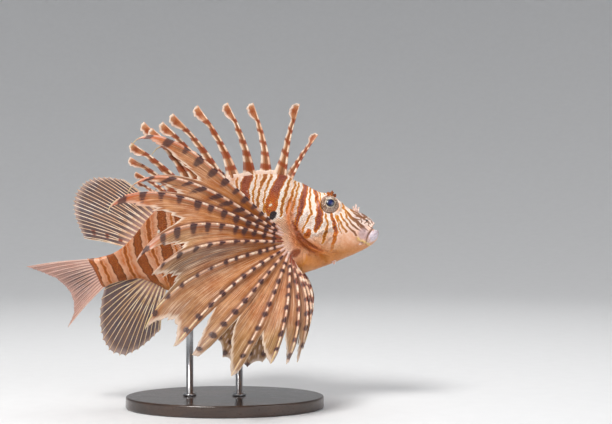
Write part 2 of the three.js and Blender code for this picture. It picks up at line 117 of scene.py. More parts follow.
def stretch_gap(x, z, start, end):
    """Distance to the straight stretch from start to end, and the share of it, from 0 to 1, where
    its nearest point lies."""
    (ax, az), (bx, bz) = start, end
    t = np.clip(((x - ax) * (bx - ax) + (z - az) * (bz - az))
                / ((bx - ax) ** 2 + (bz - az) ** 2), 0, 1)
    return np.hypot(x - ax - t * (bx - ax), z - az - t * (bz - az)), t


def line_field(x, z, lines):
    """For each point of the side view, the most of (half width - distance) over every stretch of
    every line. Each line is a list of x, z, half width, and its half width runs evenly between."""
    best = np.full(x.shape, -99.0)
    for line in lines:
        points = np.array(line, dtype=float)
        for start, end in zip(points[:-1], points[1:]):
            gap, t = stretch_gap(x, z, start[:2], end[:2])
            best = np.maximum(best, start[2] + t * (end[2] - start[2]) - gap)
    return best


def side_of(x, z, line):
    """Distance to a line of x, z points, above 0 on its left-hand side going along it."""
    best = np.full(x.shape, 99.0)
    side = np.ones(x.shape)
    for (ax, az), (bx, bz) in zip(line[:-1], line[1:]):
        gap, _ = stretch_gap(x, z, (ax, az), (bx, bz))
        turn = np.sign((bx - ax) * (z - az) - (bz - az) * (x - ax))
        side = np.where(gap < best, turn, side)
        best = np.minimum(best, gap)
    return best * side


# Body: x, height of the back, height of the belly, half width
BODY_PROFILE = [
    [-117, 126.6, 125.8, 0.8], [-110, 127.0, 114.0, 3.0], [-104, 128.3, 102.2, 4.2],
    [-96, 130.8, 105.0, 5.4], [-88, 135.4, 107.2, 6.4], [-80, 143.0, 108.2, 7.4],
    [-72, 152.8, 109.0, 8.6], [-59, 167.6, 104.4, 10.8], [-47, 176.2, 98.6, 13.2],
    [-32, 183.6, 95.6, 16.0], [-13, 189.8, 95.4, 19.0], [6, 194.6, 97.2, 21.0],
    [26, 198.0, 101.2, 22.4], [40, 198.4, 105.0, 23.0], [52, 197.0, 108.8, 23.0],
    [60, 192.6, 111.4, 22.4], [68, 189.6, 114.0, 21.4], [78, 184.0, 117.2, 19.6],
    [90, 180.8, 121.6, 17.0], [98, 175.4, 124.8, 15.2], [104, 170.2, 127.4, 13.8],
    [112, 167.0, 130.8, 12.2], [120, 163.2, 134.8, 10.6], [126, 158.2, 139.0, 8.8],
    [129.4, 152.6, 142.6, 5.8], [130.8, 148.0, 146.6, 1.4],
]
# Height of the widest line as a share of the depth, and how sharply back and belly pinch in
BODY_SHAPE = [
    [-117, 0.5, 1.0, 1.0], [-84, 0.48, 1.3, 1.1], [-60, 0.44, 1.9, 1.1], [-20, 0.48, 1.15, 0.9],
    [30, 0.46, 1.2, 0.85], [60, 0.44, 1.05, 0.8], [88, 0.4, 0.8, 0.8], [112, 0.42, 0.8, 0.85],
    [130.8, 0.45, 0.85, 0.85],
]
profile = through(BODY_PROFILE)
outline = through(BODY_SHAPE)
TAIL_X = BODY_PROFILE[0][0]
NOSE_X = BODY_PROFILE[-1][0]

EYE = {"x": 88.8, "y": 10.3, "z": 172.1, "radius": 7.5, "bulge": 5.0, "up": 20, "forward": 6}

# Markings in the side view, each point x, z and half width. Wide bars, from the tail to the snout
DARK_BARS = [
    [(-113.5, 125, 2.2), (-109, 116.5, 2.3), (-106.5, 110, 2.2), (-104, 102.5, 1.9)],
    [(-98, 130, 3.4), (-93, 122.5, 3.7), (-89.5, 116, 3.9), (-86.5, 108.5, 3.6)],
    [(-75.5, 152.5, 3.4), (-74, 142.5, 3.7), (-72, 133.5, 3.8), (-68.5, 124.5, 4.4),
     (-64.5, 116.5, 4.2), (-61.5, 111, 3.1), (-57, 105.5, 2.7), (-52.5, 101, 2)],
    [(-54.5, 170.5, 3.7), (-52.5, 156.5, 3.9), (-50.5, 144, 4.2), (-47.5, 132.5, 4.8),
     (-44, 117, 5.3), (-42, 105, 4.6), (-41.5, 97, 2.5)],
    [(-41, 175.5, 2.7), (-38.5, 157.5, 2.9), (-35.5, 147.5, 2.7), (-32.5, 137.5, 3.1),
     (-30.5, 124, 2.7), (-28.5, 110.5, 2.5), (-26, 98.5, 1.7)],
    [(-21.5, 188, 3.8), (-17.5, 167.5, 4.2), (-13, 149, 4.7), (-8.5, 129, 4.9),
     (-5, 110.5, 4.2), (-2, 98.5, 2.5)],
    [(-0.5, 195, 2.7), (2.5, 179.5, 2.7), (6.5, 162.5, 2.5), (10.5, 142.5, 2.7),
     (14.5, 122.5, 2.5), (18.5, 103.5, 1.7)],
    [(20.5, 201, 4.4), (19.5, 193.5, 4.4), (17, 187, 3.9), (18.5, 176, 3.7), (21.5, 162.5, 3.9),
     (25, 146, 3.9), (28, 127.5, 3.4), (31, 110.5, 2.1)],
    [(50, 200, 4.2), (48.5, 194.5, 4.2), (46, 190, 4.2), (43, 183.5, 4.4), (41, 177, 4.9),
     (39.5, 170.5, 5.4), (39.5, 166, 4.2)],
    [(68, 192, 2.2), (68.5, 184, 2.3), (66.7, 179, 2.8), (65, 170.5, 2.9), (62.5, 162, 2.1),
     (60.5, 157, 1.6), (61, 151.5, 1.4)],
    [(76.5, 186, 1.6), (78, 177, 1.7), (79.2, 172, 1.9), (80.5, 165.5, 2.7), (79.7, 159.5, 3.3),
     (78.5, 154, 2.6), (76.5, 150.5, 1.5)],
    [(71, 150, 1.9), (70, 147, 3.1)],
    [(89.5, 165, 1.1), (91.5, 159.5, 1.5), (93, 154, 1.7), (94, 149, 1.9), (92.5, 143, 1.6),
     (91, 137, 1.1), (89.5, 133, 0.5)],
    [(54.5, 126.5, 2), (52, 121.5, 2.4), (51, 115.5, 1.5)],
]
# Painted shade in the two grooves of the gill cover's rim, and the dark patch on the fin's shoulder
GILL_SHADE_AND_SHOULDER_PATCH = [
    [(57.5, 158, 0.6), (60, 151.5, 1.3), (64.5, 145, 1.7), (70.5, 139.8, 1.5), (77, 135.8, 0.9),
     (83, 133, 0.3)],
    [(61, 144.5, 0.5), (65, 139.5, 0.8), (71, 134.8, 0.7), (76, 132, 0.3)],
    [(61.8, 132.6, 2.4), (59.6, 131.4, 3.0), (57.4, 130, 2.2)],
]
# Thin golden lines between them
GOLD_LINES = [
    [(-115.5, 119, 0.8), (-112, 106.5, 0.8)],
    [(-107, 128, 1), (-103, 121, 1.2), (-99, 112.5, 1.2), (-96.5, 105.5, 1)],
    [(-85.5, 138, 1.4), (-82.5, 127, 1.4), (-80, 119, 1.2), (-77, 112.5, 1.1), (-75, 108, 1)],
    [(-66, 164, 1.9), (-64, 150, 2), (-62, 140, 1.7), (-60, 132.5, 1.3), (-56.5, 125, 1.1),
     (-53.5, 117, 1.1), (-49.5, 109.5, 1), (-47, 99.5, 0.8)],
    [(-46, 176, 0.7), (-44.5, 159, 0.8), (-41.5, 142.5, 0.8), (-37.5, 124, 0.8), (-34, 99, 0.8)],
    [(-33.5, 182, 1.1), (-29, 162.5, 1.1), (-24.5, 144, 1), (-20.5, 124, 1), (-16, 99.5, 0.8)],
    [(-11, 191, 1.1), (-7.5, 172.5, 1.1), (-3, 152.5, 1), (2, 131, 1), (7, 103, 0.8)],
    [(10.5, 196, 0.9), (10.5, 181, 1), (14, 164.5, 1), (18.5, 142.5, 1), (23, 119, 0.8)],
    [(27, 199, 0.8), (26.5, 191, 0.8), (24.5, 181, 0.8), (25, 171, 0.8), (29, 156, 0.9),
     (34, 134.5, 1)],
    [(35, 199.5, 1.7), (33.5, 193.5, 1.7), (31.5, 189.5, 1.4), (30, 184.5, 1), (28.5, 177, 1.1),
     (28.5, 169.5, 1.1), (32.5, 157.5, 1), (37.5, 142.5, 1)],
    [(40, 199, 1), (39, 194, 1.1), (37, 189.5, 1), (34.5, 182.5, 0.7), (33.5, 174.5, 0.7),
     (34, 166, 0.8)],
    [(56.5, 197, 0.9), (55, 192, 1.1), (53, 186, 1.3), (51.5, 180, 1.4), (49.5, 174.5, 1.2),
     (48.5, 167.5, 1.2), (48, 162, 0.8)],
    [(60, 193, 0.8), (59.5, 188, 0.9), (57.5, 182, 1), (56, 176.5, 1.2), (53.5, 170.5, 1.1),
     (52.5, 165, 0.8)],
    [(63, 190, 0.6), (62, 186, 0.8), (61, 181.5, 0.8), (59, 174, 0.8), (57.5, 167, 0.6)],
    [(73, 188, 0.7), (72, 179, 0.8), (72, 172, 0.8), (73.5, 165, 1), (69.5, 158, 0.9),
     (66.5, 152, 0.8), (65.5, 148.5, 0.5)],
    [(80, 184, 0.6), (81, 177.5, 0.6), (82.5, 172, 0.5)],
    [(85, 164, 0.7), (86.5, 158.5, 0.8), (87, 153.5, 1), (85, 148.5, 1.5), (84, 144, 1.4),
     (82.5, 140, 0.6)],
    [(95, 162.5, 0.7), (97, 158.5, 0.8), (99.5, 154, 0.8), (102.5, 149.5, 0.7)],
    [(97.5, 164.5, 0.7), (99.5, 161, 0.8), (101.5, 158, 0.8), (104, 154, 0.8), (107, 151, 0.8),
     (109.5, 149, 0.8), (111.5, 146, 0.5)],
    [(101.5, 166, 0.4), (104, 160, 0.7), (106.5, 156.5, 0.8), (109.5, 154, 0.7),
     (112, 151.5, 0.8), (114.5, 150, 0.5)],
    [(99.5, 174, 0.6), (101, 169, 0.8), (104, 165, 0.8), (107, 162, 0.8), (110.5, 159, 0.8),
     (113, 156.5, 0.8), (115.5, 155, 0.8), (118, 152.5, 0.7), (120.5, 150, 0.5)],
    [(109, 165, 0.5), (112.5, 162.5, 0.7), (114.5, 161.5, 0.6), (117.5, 161.5, 0.6),
     (120.5, 161.5, 0.4)],
    [(114.5, 167, 0.4), (116.5, 164.5, 0.6), (119, 163, 0.5)],
    [(118, 156.5, 0.4), (120, 157.5, 0.5), (121.5, 156, 0.4)],
    [(108, 162, 0.3), (111, 160, 0.4), (114, 159, 0.3)],
    [(103, 172.5, 0.4), (107.5, 167.5, 0.5), (113, 164.3, 0.5), (118.5, 159.9, 0.4),
     (123, 156.2, 0.4)],
    [(99.6, 170, 0.4), (102.2, 166.5, 0.5), (105.5, 162, 0.5), (110.5, 157, 0.5),
     (115.5, 152.6, 0.5), (118, 149.8, 0.4)],
    [(93.5, 164, 0.3), (95.2, 158, 0.5), (97, 152, 0.5), (98.5, 147.5, 0.3)],
    [(117, 165, 0.3), (118.3, 162.5, 0.3), (118, 160, 0.3)], [(120.5, 162, 0.3), (122, 159, 0.3)],
    [(122.7, 160, 0.3), (125, 156.5, 0.3)], [(115.6, 160.5, 0.3), (115.4, 157.5, 0.3)],
    [(121.5, 155, 0.3), (124, 153, 0.3)], [(106, 169.5, 0.3), (109.5, 166.6, 0.4)],
    [(84.2, 184.5, 0.5), (84.6, 180.5, 0.5)], [(88.2, 183.5, 0.6), (88.4, 180.4, 0.5)],
    [(92.4, 182, 0.5), (93.2, 178.6, 0.5)], [(96.4, 179, 0.6), (97.4, 175.4, 0.5)],
    [(69.5, 130.5, 0.5), (69, 125.5, 0.8), (66.5, 121.5, 0.6)],
]
DARK_SPOTS = [[(40, 161, 2.0), (41.2, 162.6, 2.7), (42, 164.4, 2.5)],
              [(119.8, 158.9, 0.7), (120.4, 158.8, 0.7)]]
WHITE_SPOTS = [[(39, 171.5, 1.0), (39.6, 172, 1.0)], [(-55, 150, 0.9), (-55.5, 149, 0.9)]]

# Ridges of the head, as lines: below the eye, the bony stays of cheek and gill cover, the brow
CHEEK_RIDGE = [[(101, 160, 0), (88, 152, 0), (77, 148, 0), (66, 150, 0)]]
BONY_STAYS = [[(104, 170, 0), (112, 158, 0), (117, 151, 0)],
              [(74, 169, 0), (66, 167, 0), (57, 165, 0)],
              [(84, 141, 0), (90, 146, 0), (97, 147, 0)],
              [(108, 168, 0), (114, 163, 0), (120, 160, 0)]]
BROW_RIDGE = [[(99.5, 176, 0), (92, 181, 0), (84, 183, 0), (76, 184.5, 0)]]

# The mouth from its corner to the tip, the jaw plate's frill, and the edge of the gill cover
MOUTH = [(119.6, 141.2), (120.6, 145.4), (122.4, 148.6), (124.6, 151.2), (126.4, 153.4),
         (129, 156.5)]
FRILL = [(112.0, 143.8), (113.4, 141.7), (116.8, 140.8), (120.2, 139.2), (122.5, 137.4)]
GILL_EDGE = [(54.5, 172), (53.2, 164), (55.2, 156), (59.4, 148.4), (64.4, 141.8), (71, 136),
             (79, 131.6), (88, 128.6)]
# Upper edge of the belly's colour: x, then z
BELLY_LINE = [-117, -60, 0, 50, 70, 95, 125], [100, 106, 104, 118, 132, 138, 139]


def body_points(x, angle, depth):
    """Points of the body's surface at x and an angle round it, depth inside the plain body:
    y = half width * sign(cos) * |cos|^power, z = middle + reach * sin, where reach and power are
    those of the back where sin > 0 and of the belly elsewhere."""
    top = profile(x, 1)
    bottom = profile(x, 2)
    middle = bottom + outline(x, 1) * (top - bottom)
    up = np.sin(angle)
    out = np.cos(angle)
    power = np.where(up > 0, outline(x, 2), outline(x, 3))
    half = np.maximum(profile(x, 3) - depth, 0.3)
    reach = np.maximum(np.where(up > 0, top - middle, middle - bottom) - depth, 0.2)
    y = half * np.sign(out) * np.abs(out) ** power
    return np.stack([x + 0 * y, y, middle + reach * up], axis=-1)


def lip_roll(x, z):
    """Distance from the middle of the lower lip's pale roll, 1 at its edge: an ellipse that leans
    forward by 44 degrees."""
    along = ((x - 124.4) * 0.72 + (z - 144.9) * 0.69) / 6.6
    across = (-(x - 124.4) * 0.69 + (z - 144.9) * 0.72) / 3.5
    return np.hypot(along, across)


def relief(x, z, facing):
    """Height of the skin over the plain body: a sum of bumps, each a smooth function of the
    distance to a line or point of the side view, times how far the surface faces sideways."""
    mouth = side_of(x, z, MOUTH)
    eye = np.hypot(x - EYE["x"], (z - EYE["z"]) * 1.04)
    gill = side_of(x, z, GILL_EDGE)
    frill = side_of(x, z, FRILL)
    plate = np.hypot((x - 115.6) / 5.2, (z - 145.8) / 4.3)
    notch = np.hypot((x - 129.4) / 4.2, (z - 153.2) / 2.6)
    height = 0.75 * bell(mouth, 1.7, 1.0)
    height += 1.3 * smooth(-lip_roll(x, z), -1.15, -0.35)
    height += 0.5 * smooth(-plate, -1.25, -0.8)
    height += 0.55 * bell(frill, 0.8, 0.7) - 0.6 * bell(frill, -0.7, 0.5)
    height += 0.6 * bell(eye, 8.9, 1.4) - 3.6 * smooth(-eye, -8.0, -6.6)
    height += -0.5 * bell(eye, 11.4, 1.3)
    height += 0.9 * bell(line_field(x, z, CHEEK_RIDGE), 0, 1.4)
    height += 0.5 * bell(line_field(x, z, BONY_STAYS), 0, 1.2)
    fold = 0.9 * np.exp(-gill / 9.0) * smooth(gill, 0, 1.4) + 0.45 * np.sin(gill * 1.5) \
        * np.exp(-gill / 7.0)
    shoulder = 3.9 * bell(gill, -5.5, 6.5) * smooth(z, 116, 124) * smooth(-z, -160, -148)
    height += np.where(gill > 0, fold, -0.9 * np.exp(gill / 3.0) - shoulder) \
        * smooth(x, 38, 46) * smooth(-x, -90, -80)
    height = height * np.clip(facing * 1.6, 0, 1)
    height += 0.9 * bell(line_field(x, z, BROW_RIDGE), 0, 1.3) * smooth(facing, 0.1, 0.35)
    height -= 1.1 * bell(mouth, 0, 0.65) * smooth(x, 118, 121)
    height -= 3.6 * smooth(-notch, -1.3, -0.2)
    ripple = np.sin(x * 0.9 + 1.3 * np.sin(z * 0.31)) * np.sin(z * 0.8 + np.sin(x * 0.37))
    return height + 0.09 * ripple


def markings(points):
    """Numbers that the skin's and scales' materials read, each a smooth function of the side view:
    signed distances in mm into the bars, lines and spots, and shares from 0 to 1 of each region."""
    x, z = points[:, 0], points[:, 2]
    wave = 0.35 * np.sin(z * 0.83 + 0.4 * np.sin(x * 0.6)) + 0.22 * np.sin(z * 1.9 + x * 0.7)
    lift = 0.35 * np.sin(x * 0.77 + np.sin(z * 0.5))
    wx, wz = x + wave, z + lift
    belly_line = np.interp(x, *BELLY_LINE)
    gill = side_of(x, z, GILL_EDGE)
    mouth = side_of(x, z, MOUTH)
    frill = side_of(x, z, FRILL)
    return {
        "dark": line_field(wx, wz, DARK_BARS),
        "gold": line_field(wx, wz, GOLD_LINES),
        "spot": line_field(x, z, DARK_SPOTS),
        "white": line_field(x, z, WHITE_SPOTS),
        # painted shade in the gill cover's grooves, and the shoulder's dark patch
        "fold": line_field(x, z, GILL_SHADE_AND_SHOULDER_PATCH),
        "belly": smooth(belly_line - z, -6, 7),
        "blush": smooth(belly_line + 13 - z, -7, 8) * smooth(x, 52, 60),
        "front": smooth(x, -45, 45),
        "ember": bell(np.hypot(x - 40.5, (z - 172) * 0.8), 0, 6.5)
        + 0.8 * smooth(-z, -152, -146) * smooth(x, 80, 88)
        + 0.7 * bell(np.hypot(x - 70, z - 147), 0, 5),
        "snout": smooth(x - 0.25 * (z - 150), 94, 110),
        "jaw": smooth(-lip_roll(x, z), -1.5, -0.85) * smooth(-mouth, -0.2, 0.5)
        * (0.45 + 0.55 * smooth(x * 0.72 + z * 0.69, 184.6, 190.5)),
        "lip": smooth(-np.hypot((x - 117) / 5.2, (z - 147.2) / 5.4), -1.25, -0.5)
        * smooth(mouth, 0.1, 0.8),
        "frill": bell(frill - 0.4 + 0.4 * np.sin(x * 2.2), 0, 0.8),
        # painted shade in the mouth's line and under the jaw plate's frill
        "groove": bell(mouth, 0, 0.7) * smooth(x, 118, 120.5) + 0.35 * bell(frill, -1.3, 0.5),
        "fleshy": bell(np.hypot((x - 56) / 6, (z - 129) / 13), 0, 1),
        "flush": np.clip(1.2 * bell(gill, 1.5, 5.2) * smooth(-x, -96, -72) * smooth(x, 48, 55)
                         + 0.8 * bell(np.hypot(x - 60, (z - 141) * 0.5), 0, 5.5), 0, 1),
    }


class Shape:
    """Points, faces and numbers of one piece, gathered part by part before they go into a mesh."""

    def __init__(self):
        self.points, self.uvs, self.numbers = [], [], {}
        self.faces = {4: [], 3: []}
        self.count = 0

    def add(self, points, quads=None, triangles=None, uv=None, **numbers):
        """Takes in a part. A number that it doesn't give, or earlier parts didn't, is 0 there."""
        for size, faces in ((4, quads), (3, triangles)):
            if faces is not None:
                self.faces[size].append(faces + self.count)
        for name in sorted(set(self.numbers) | set(numbers)):
            rows = self.numbers.setdefault(name, [np.zeros(self.count)])
            rows.append(np.broadcast_to(numbers.get(name, 0.0), len(points)))
        self.uvs.append(np.zeros((len(points), 2)) if uv is None else uv)
        self.points.append(points)
        self.count += len(points)

    def mesh(self, name, uv_name="UVMap"):
        """One mesh in metres, smooth-shaded, with its numbers as float attributes of its points."""
        faces = [np.concatenate(self.faces[size]) for size in (4, 3) if self.faces[size]]
        sizes = np.concatenate([np.full(len(block), block.shape[1]) for block in faces])
        corners = np.concatenate([block.reshape(-1) for block in faces]).astype(np.int32)
        mesh = bpy.data.meshes.new(name)
        mesh.vertices.add(self.count)
        metres = (np.concatenate(self.points) * MM).astype(np.float32)
        mesh.vertices.foreach_set("co", metres.ravel())
        mesh.loops.add(len(corners))
        mesh.loops.foreach_set("vertex_index", corners)
        mesh.polygons.add(len(sizes))
        starts = np.concatenate([[0], np.cumsum(sizes)[:-1]]).astype(np.int32)
        mesh.polygons.foreach_set("loop_start", starts)
        mesh.polygons.foreach_set("loop_total", sizes.astype(np.int32))
        mesh.update(calc_edges=True)
        mesh.polygons.foreach_set("use_smooth", np.ones(len(sizes), dtype=bool))
        layer = mesh.uv_layers.new(name=uv_name)
        layer.data.foreach_set("uv", np.concatenate(self.uvs)[corners].astype(np.float32).ravel())
        for key, rows in self.numbers.items():
            attribute = mesh.attributes.new(key, "FLOAT", "POINT")
            attribute.data.foreach_set("value", np.concatenate(rows).astype(np.float32))
        mesh.validate()
        return mesh

    def link(self, name, material, uv_name="UVMap"):
        """The finished mesh as an object at the origin, unturned and unscaled."""
        mesh = self.mesh(name, uv_name)
        mesh.materials.append(material)
        made = bpy.data.objects.new(name, mesh)
        bpy.context.scene.collection.objects.link(made)
        return made

    def piece(self, name, material, slot, nodes, uv_name="UVMap"):
        """The finished piece, riding on the one body in place of its nodes."""
        made = self.link(name, material, uv_name)
        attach(made, "root")
        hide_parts(*nodes)


def grid_quads(rows, columns, closed=False):
    """Faces of a grid numbered row by row, looking along (next row) x (next column)."""
    i, j = np.meshgrid(np.arange(rows - 1), np.arange(columns if closed else columns - 1),
                       indexing="ij")
    k = (j + 1) % columns
    return np.stack([i * columns + j, (i + 1) * columns + j, (i + 1) * columns + k,
                     i * columns + k], axis=-1).reshape(-1, 4)

def closed_grid(rows, columns):
    """Faces of a grid that closes round its columns, and of the fans that close its first and last
    rows to two poles, which are numbered after it."""
    k = np.arange(columns)
    after = (k + 1) % columns
    pole, last = rows * columns, (rows - 1) * columns
    fans = [np.stack([np.full(columns, pole), after, k], axis=-1),
            np.stack([np.full(columns, pole + 1), last + k, last + after], axis=-1)]
    return grid_quads(rows, columns, closed=True)[:, ::-1], np.concatenate(fans)


def with_poles(uv):
    """UV points of a closed grid, with its first and last ones again for the two poles."""
    uv = uv.reshape(-1, 2)
    return np.concatenate([uv, uv[[0, -1]]])


def grid_normal(middle):
    """Normals of a grid of points: (next row) x (next column), made one long."""
    return unit(np.cross(np.gradient(middle, axis=0), np.gradient(middle, axis=1)))


def add_sheet(shape, middle, thick, uv, **numbers):
    """A closed thin sheet over a grid: the middle moved half its thickness to each side along the
    grid's own normals, and joined round its four edges."""
    rows, columns = middle.shape[:2]
    offset = grid_normal(middle) * (np.broadcast_to(thick, (rows, columns)) / 2)[..., None]
    count = rows * columns
    index = np.arange(count).reshape(rows, columns)
    rim = np.concatenate([index[:-1, 0], index[-1, :-1], index[:0:-1, -1], index[0, :0:-1]])
    ahead = np.roll(rim, -1)
    front = grid_quads(rows, columns)
    quads = np.concatenate([front, front[:, ::-1] + count,
                            np.stack([rim, rim + count, ahead + count, ahead], axis=-1)])
    twice = {key: np.tile(np.broadcast_to(value, (rows, columns)).reshape(-1), 2)
             for key, value in numbers.items()}
    shape.add(np.concatenate([middle + offset, middle - offset]).reshape(-1, 3), quads=quads,
              uv=np.tile(uv.reshape(-1, 2), (2, 1)), **twice)


# Numbers that the web material reads, where a web doesn't say otherwise
PLAIN_WEB = {"smudge": NO_BAND, "margin": 0, "golden": 0, "olive": 0, "blaze": 0, "cover": 1,
             "seam": 0, "ashen": 0, "brown": 0, "hollow": 0}


def add_web(shape, middle, thick, uv, **numbers):
    """A sheet with all the numbers that the web material reads."""
    add_sheet(shape, middle, thick, uv, **{**PLAIN_WEB, **numbers})


def add_tube(shape, path, across, deep, sides=8, **numbers):
    """A closed tube along a path: at each station an ellipse with half axes across (square to the
    Y axis) and deep (towards it), and a point that closes each end."""
    count = len(path)
    across, deep = np.broadcast_to(across, count), np.broadcast_to(deep, count)
    tangent = unit(np.gradient(path, axis=0))
    first = unit(np.cross([0.0, 1.0, 0.0], tangent))
    second = np.cross(tangent, first)
    turn = np.arange(sides) / sides * TURN
    ring = (path[:, None] + across[:, None, None] * np.cos(turn)[None, :, None] * first[:, None]
            + deep[:, None, None] * np.sin(turn)[None, :, None] * second[:, None])
    ends = np.stack([path[0] - tangent[0] * across[0] * 0.6,
                     path[-1] + tangent[-1] * across[-1] * 0.6])
    quads, caps = closed_grid(count, sides)
    uv = np.stack(np.meshgrid(run_length(path) * 0.1, turn / UV_TURN, indexing="ij"), axis=-1)
    spread = {}
    for key, value in numbers.items():
        value = np.broadcast_to(value, count)
        spread[key] = np.concatenate([np.repeat(value, sides), value[[0, -1]]])
    shape.add(np.concatenate([ring.reshape(-1, 3), ends]), quads=quads, triangles=caps,
              uv=with_poles(uv), **spread)


# Materials

class Value:
    """Output of a node, which + - and * join to further nodes."""

    def __init__(self, nodes, socket):
        self.nodes, self.socket = nodes, socket

    def __add__(self, other):
        return self.nodes.math("ADD", self, other)

    def __sub__(self, other):
        return self.nodes.math("SUBTRACT", self, other)

    def __rsub__(self, other):
        return self.nodes.math("SUBTRACT", other, self)

    def __mul__(self, other):
        return self.nodes.math("MULTIPLY", self, other)

    __radd__, __rmul__ = __add__, __mul__


class Nodes:
    """Short names for the nodes of one procedural material."""

    def __init__(self, name):
        self.material = bpy.data.materials.new(name)
        self.material.use_nodes = True
        self.tree = self.material.node_tree
        self.tree.nodes.clear()
        self.shader = self.tree.nodes.new("ShaderNodeBsdfPrincipled")
        output = self.tree.nodes.new("ShaderNodeOutputMaterial")
        self.tree.links.new(self.shader.outputs[0], output.inputs[0])
        self.place = self.tree.nodes.new("ShaderNodeTexCoord")

    def put(self, socket, value):
        """Links a value to a socket, or sets the socket to a plain number, colour or scale."""
        if isinstance(value, Value):
            self.tree.links.new(value.socket, socket)
        elif isinstance(value, (int, float)):
            socket.default_value = value
        else:
            value = tuple(value)
            socket.default_value = value + (1.0,) * (len(socket.default_value) - len(value))

    def node(self, kind, output, inputs, **settings):
        """A new node with its inputs and settings. Gives the output that is named."""
        made = self.tree.nodes.new("ShaderNode" + kind)
        for key, value in settings.items():
            setattr(made, key, value)
        for key, value in inputs.items():
            self.put(made.inputs[key], value)
        return Value(self, made.outputs[output])

    def math(self, operation, a, b):
        return self.node("Math", 0, {0: a, 1: b}, operation=operation)

    def step(self, value, low, high):
        """0 below low, 1 above high, smooth between."""
        return self.node("MapRange", 0, {"Value": value, "From Min": low, "From Max": high},
                         interpolation_type="SMOOTHSTEP")

    def mix(self, share, a, b):
        return self.node("Mix", 2, {0: share, 6: a, 7: b}, data_type="RGBA")

    def layers(self, colour, *coats):
        """Further colours laid over a first one, each with the share that it covers."""
        for share, over in coats:
            colour = self.mix(share, colour, over)
        return colour

    def vivid(self, colour, saturation, value=1.0):
        return self.node("HueSaturation", 0, {"Saturation": saturation, "Value": value,
                                              "Color": colour})

    def number(self, name):
        """A number that the mesh carries."""
        return self.node("Attribute", "Fac", {}, attribute_name=name)

    def stretched(self, where, stretch):
        return self.node("Mapping", 0, {"Vector": Value(self, self.place.outputs[where]),
                                        "Scale": stretch})

    def noise(self, scale, detail=3.0, rough=0.55, where="Object", stretch=(1, 1, 1)):
        """Noise less its middle value, so about -0.5 to 0.5."""
        inputs = {"Vector": self.stretched(where, stretch), "Scale": scale, "Detail": detail,
                  "Roughness": rough}
        return self.node("TexNoise", "Fac", inputs) - 0.5

    def streaks(self, along, across, detail):
        """Noise drawn out along the first direction of the UV map."""
        return self.noise(1.0, detail, where="UV", stretch=(along, across, 1))

    def cells(self, scale, stretch=(1, 1, 1)):
        """Distance from the middle of the nearest of many small cells."""
        return self.node("TexVoronoi", "Distance", {"Vector": self.stretched("Object", stretch),
                                                    "Scale": scale})

    def bump(self, height, distance, strength):
        return self.node("Bump", 0, {"Distance": distance, "Strength": strength, "Height": height})

    def finish(self, colour, rough, normal=None, **settings):
        """Links colour, roughness and bump, and sets the other sockets to plain numbers."""
        if normal is not None:
            settings["Normal"] = normal
        for name, value in {"Base_Color": colour, "Roughness": rough, **settings}.items():
            self.put(self.shader.inputs[name.replace("_", " ")], value)
        return self.material


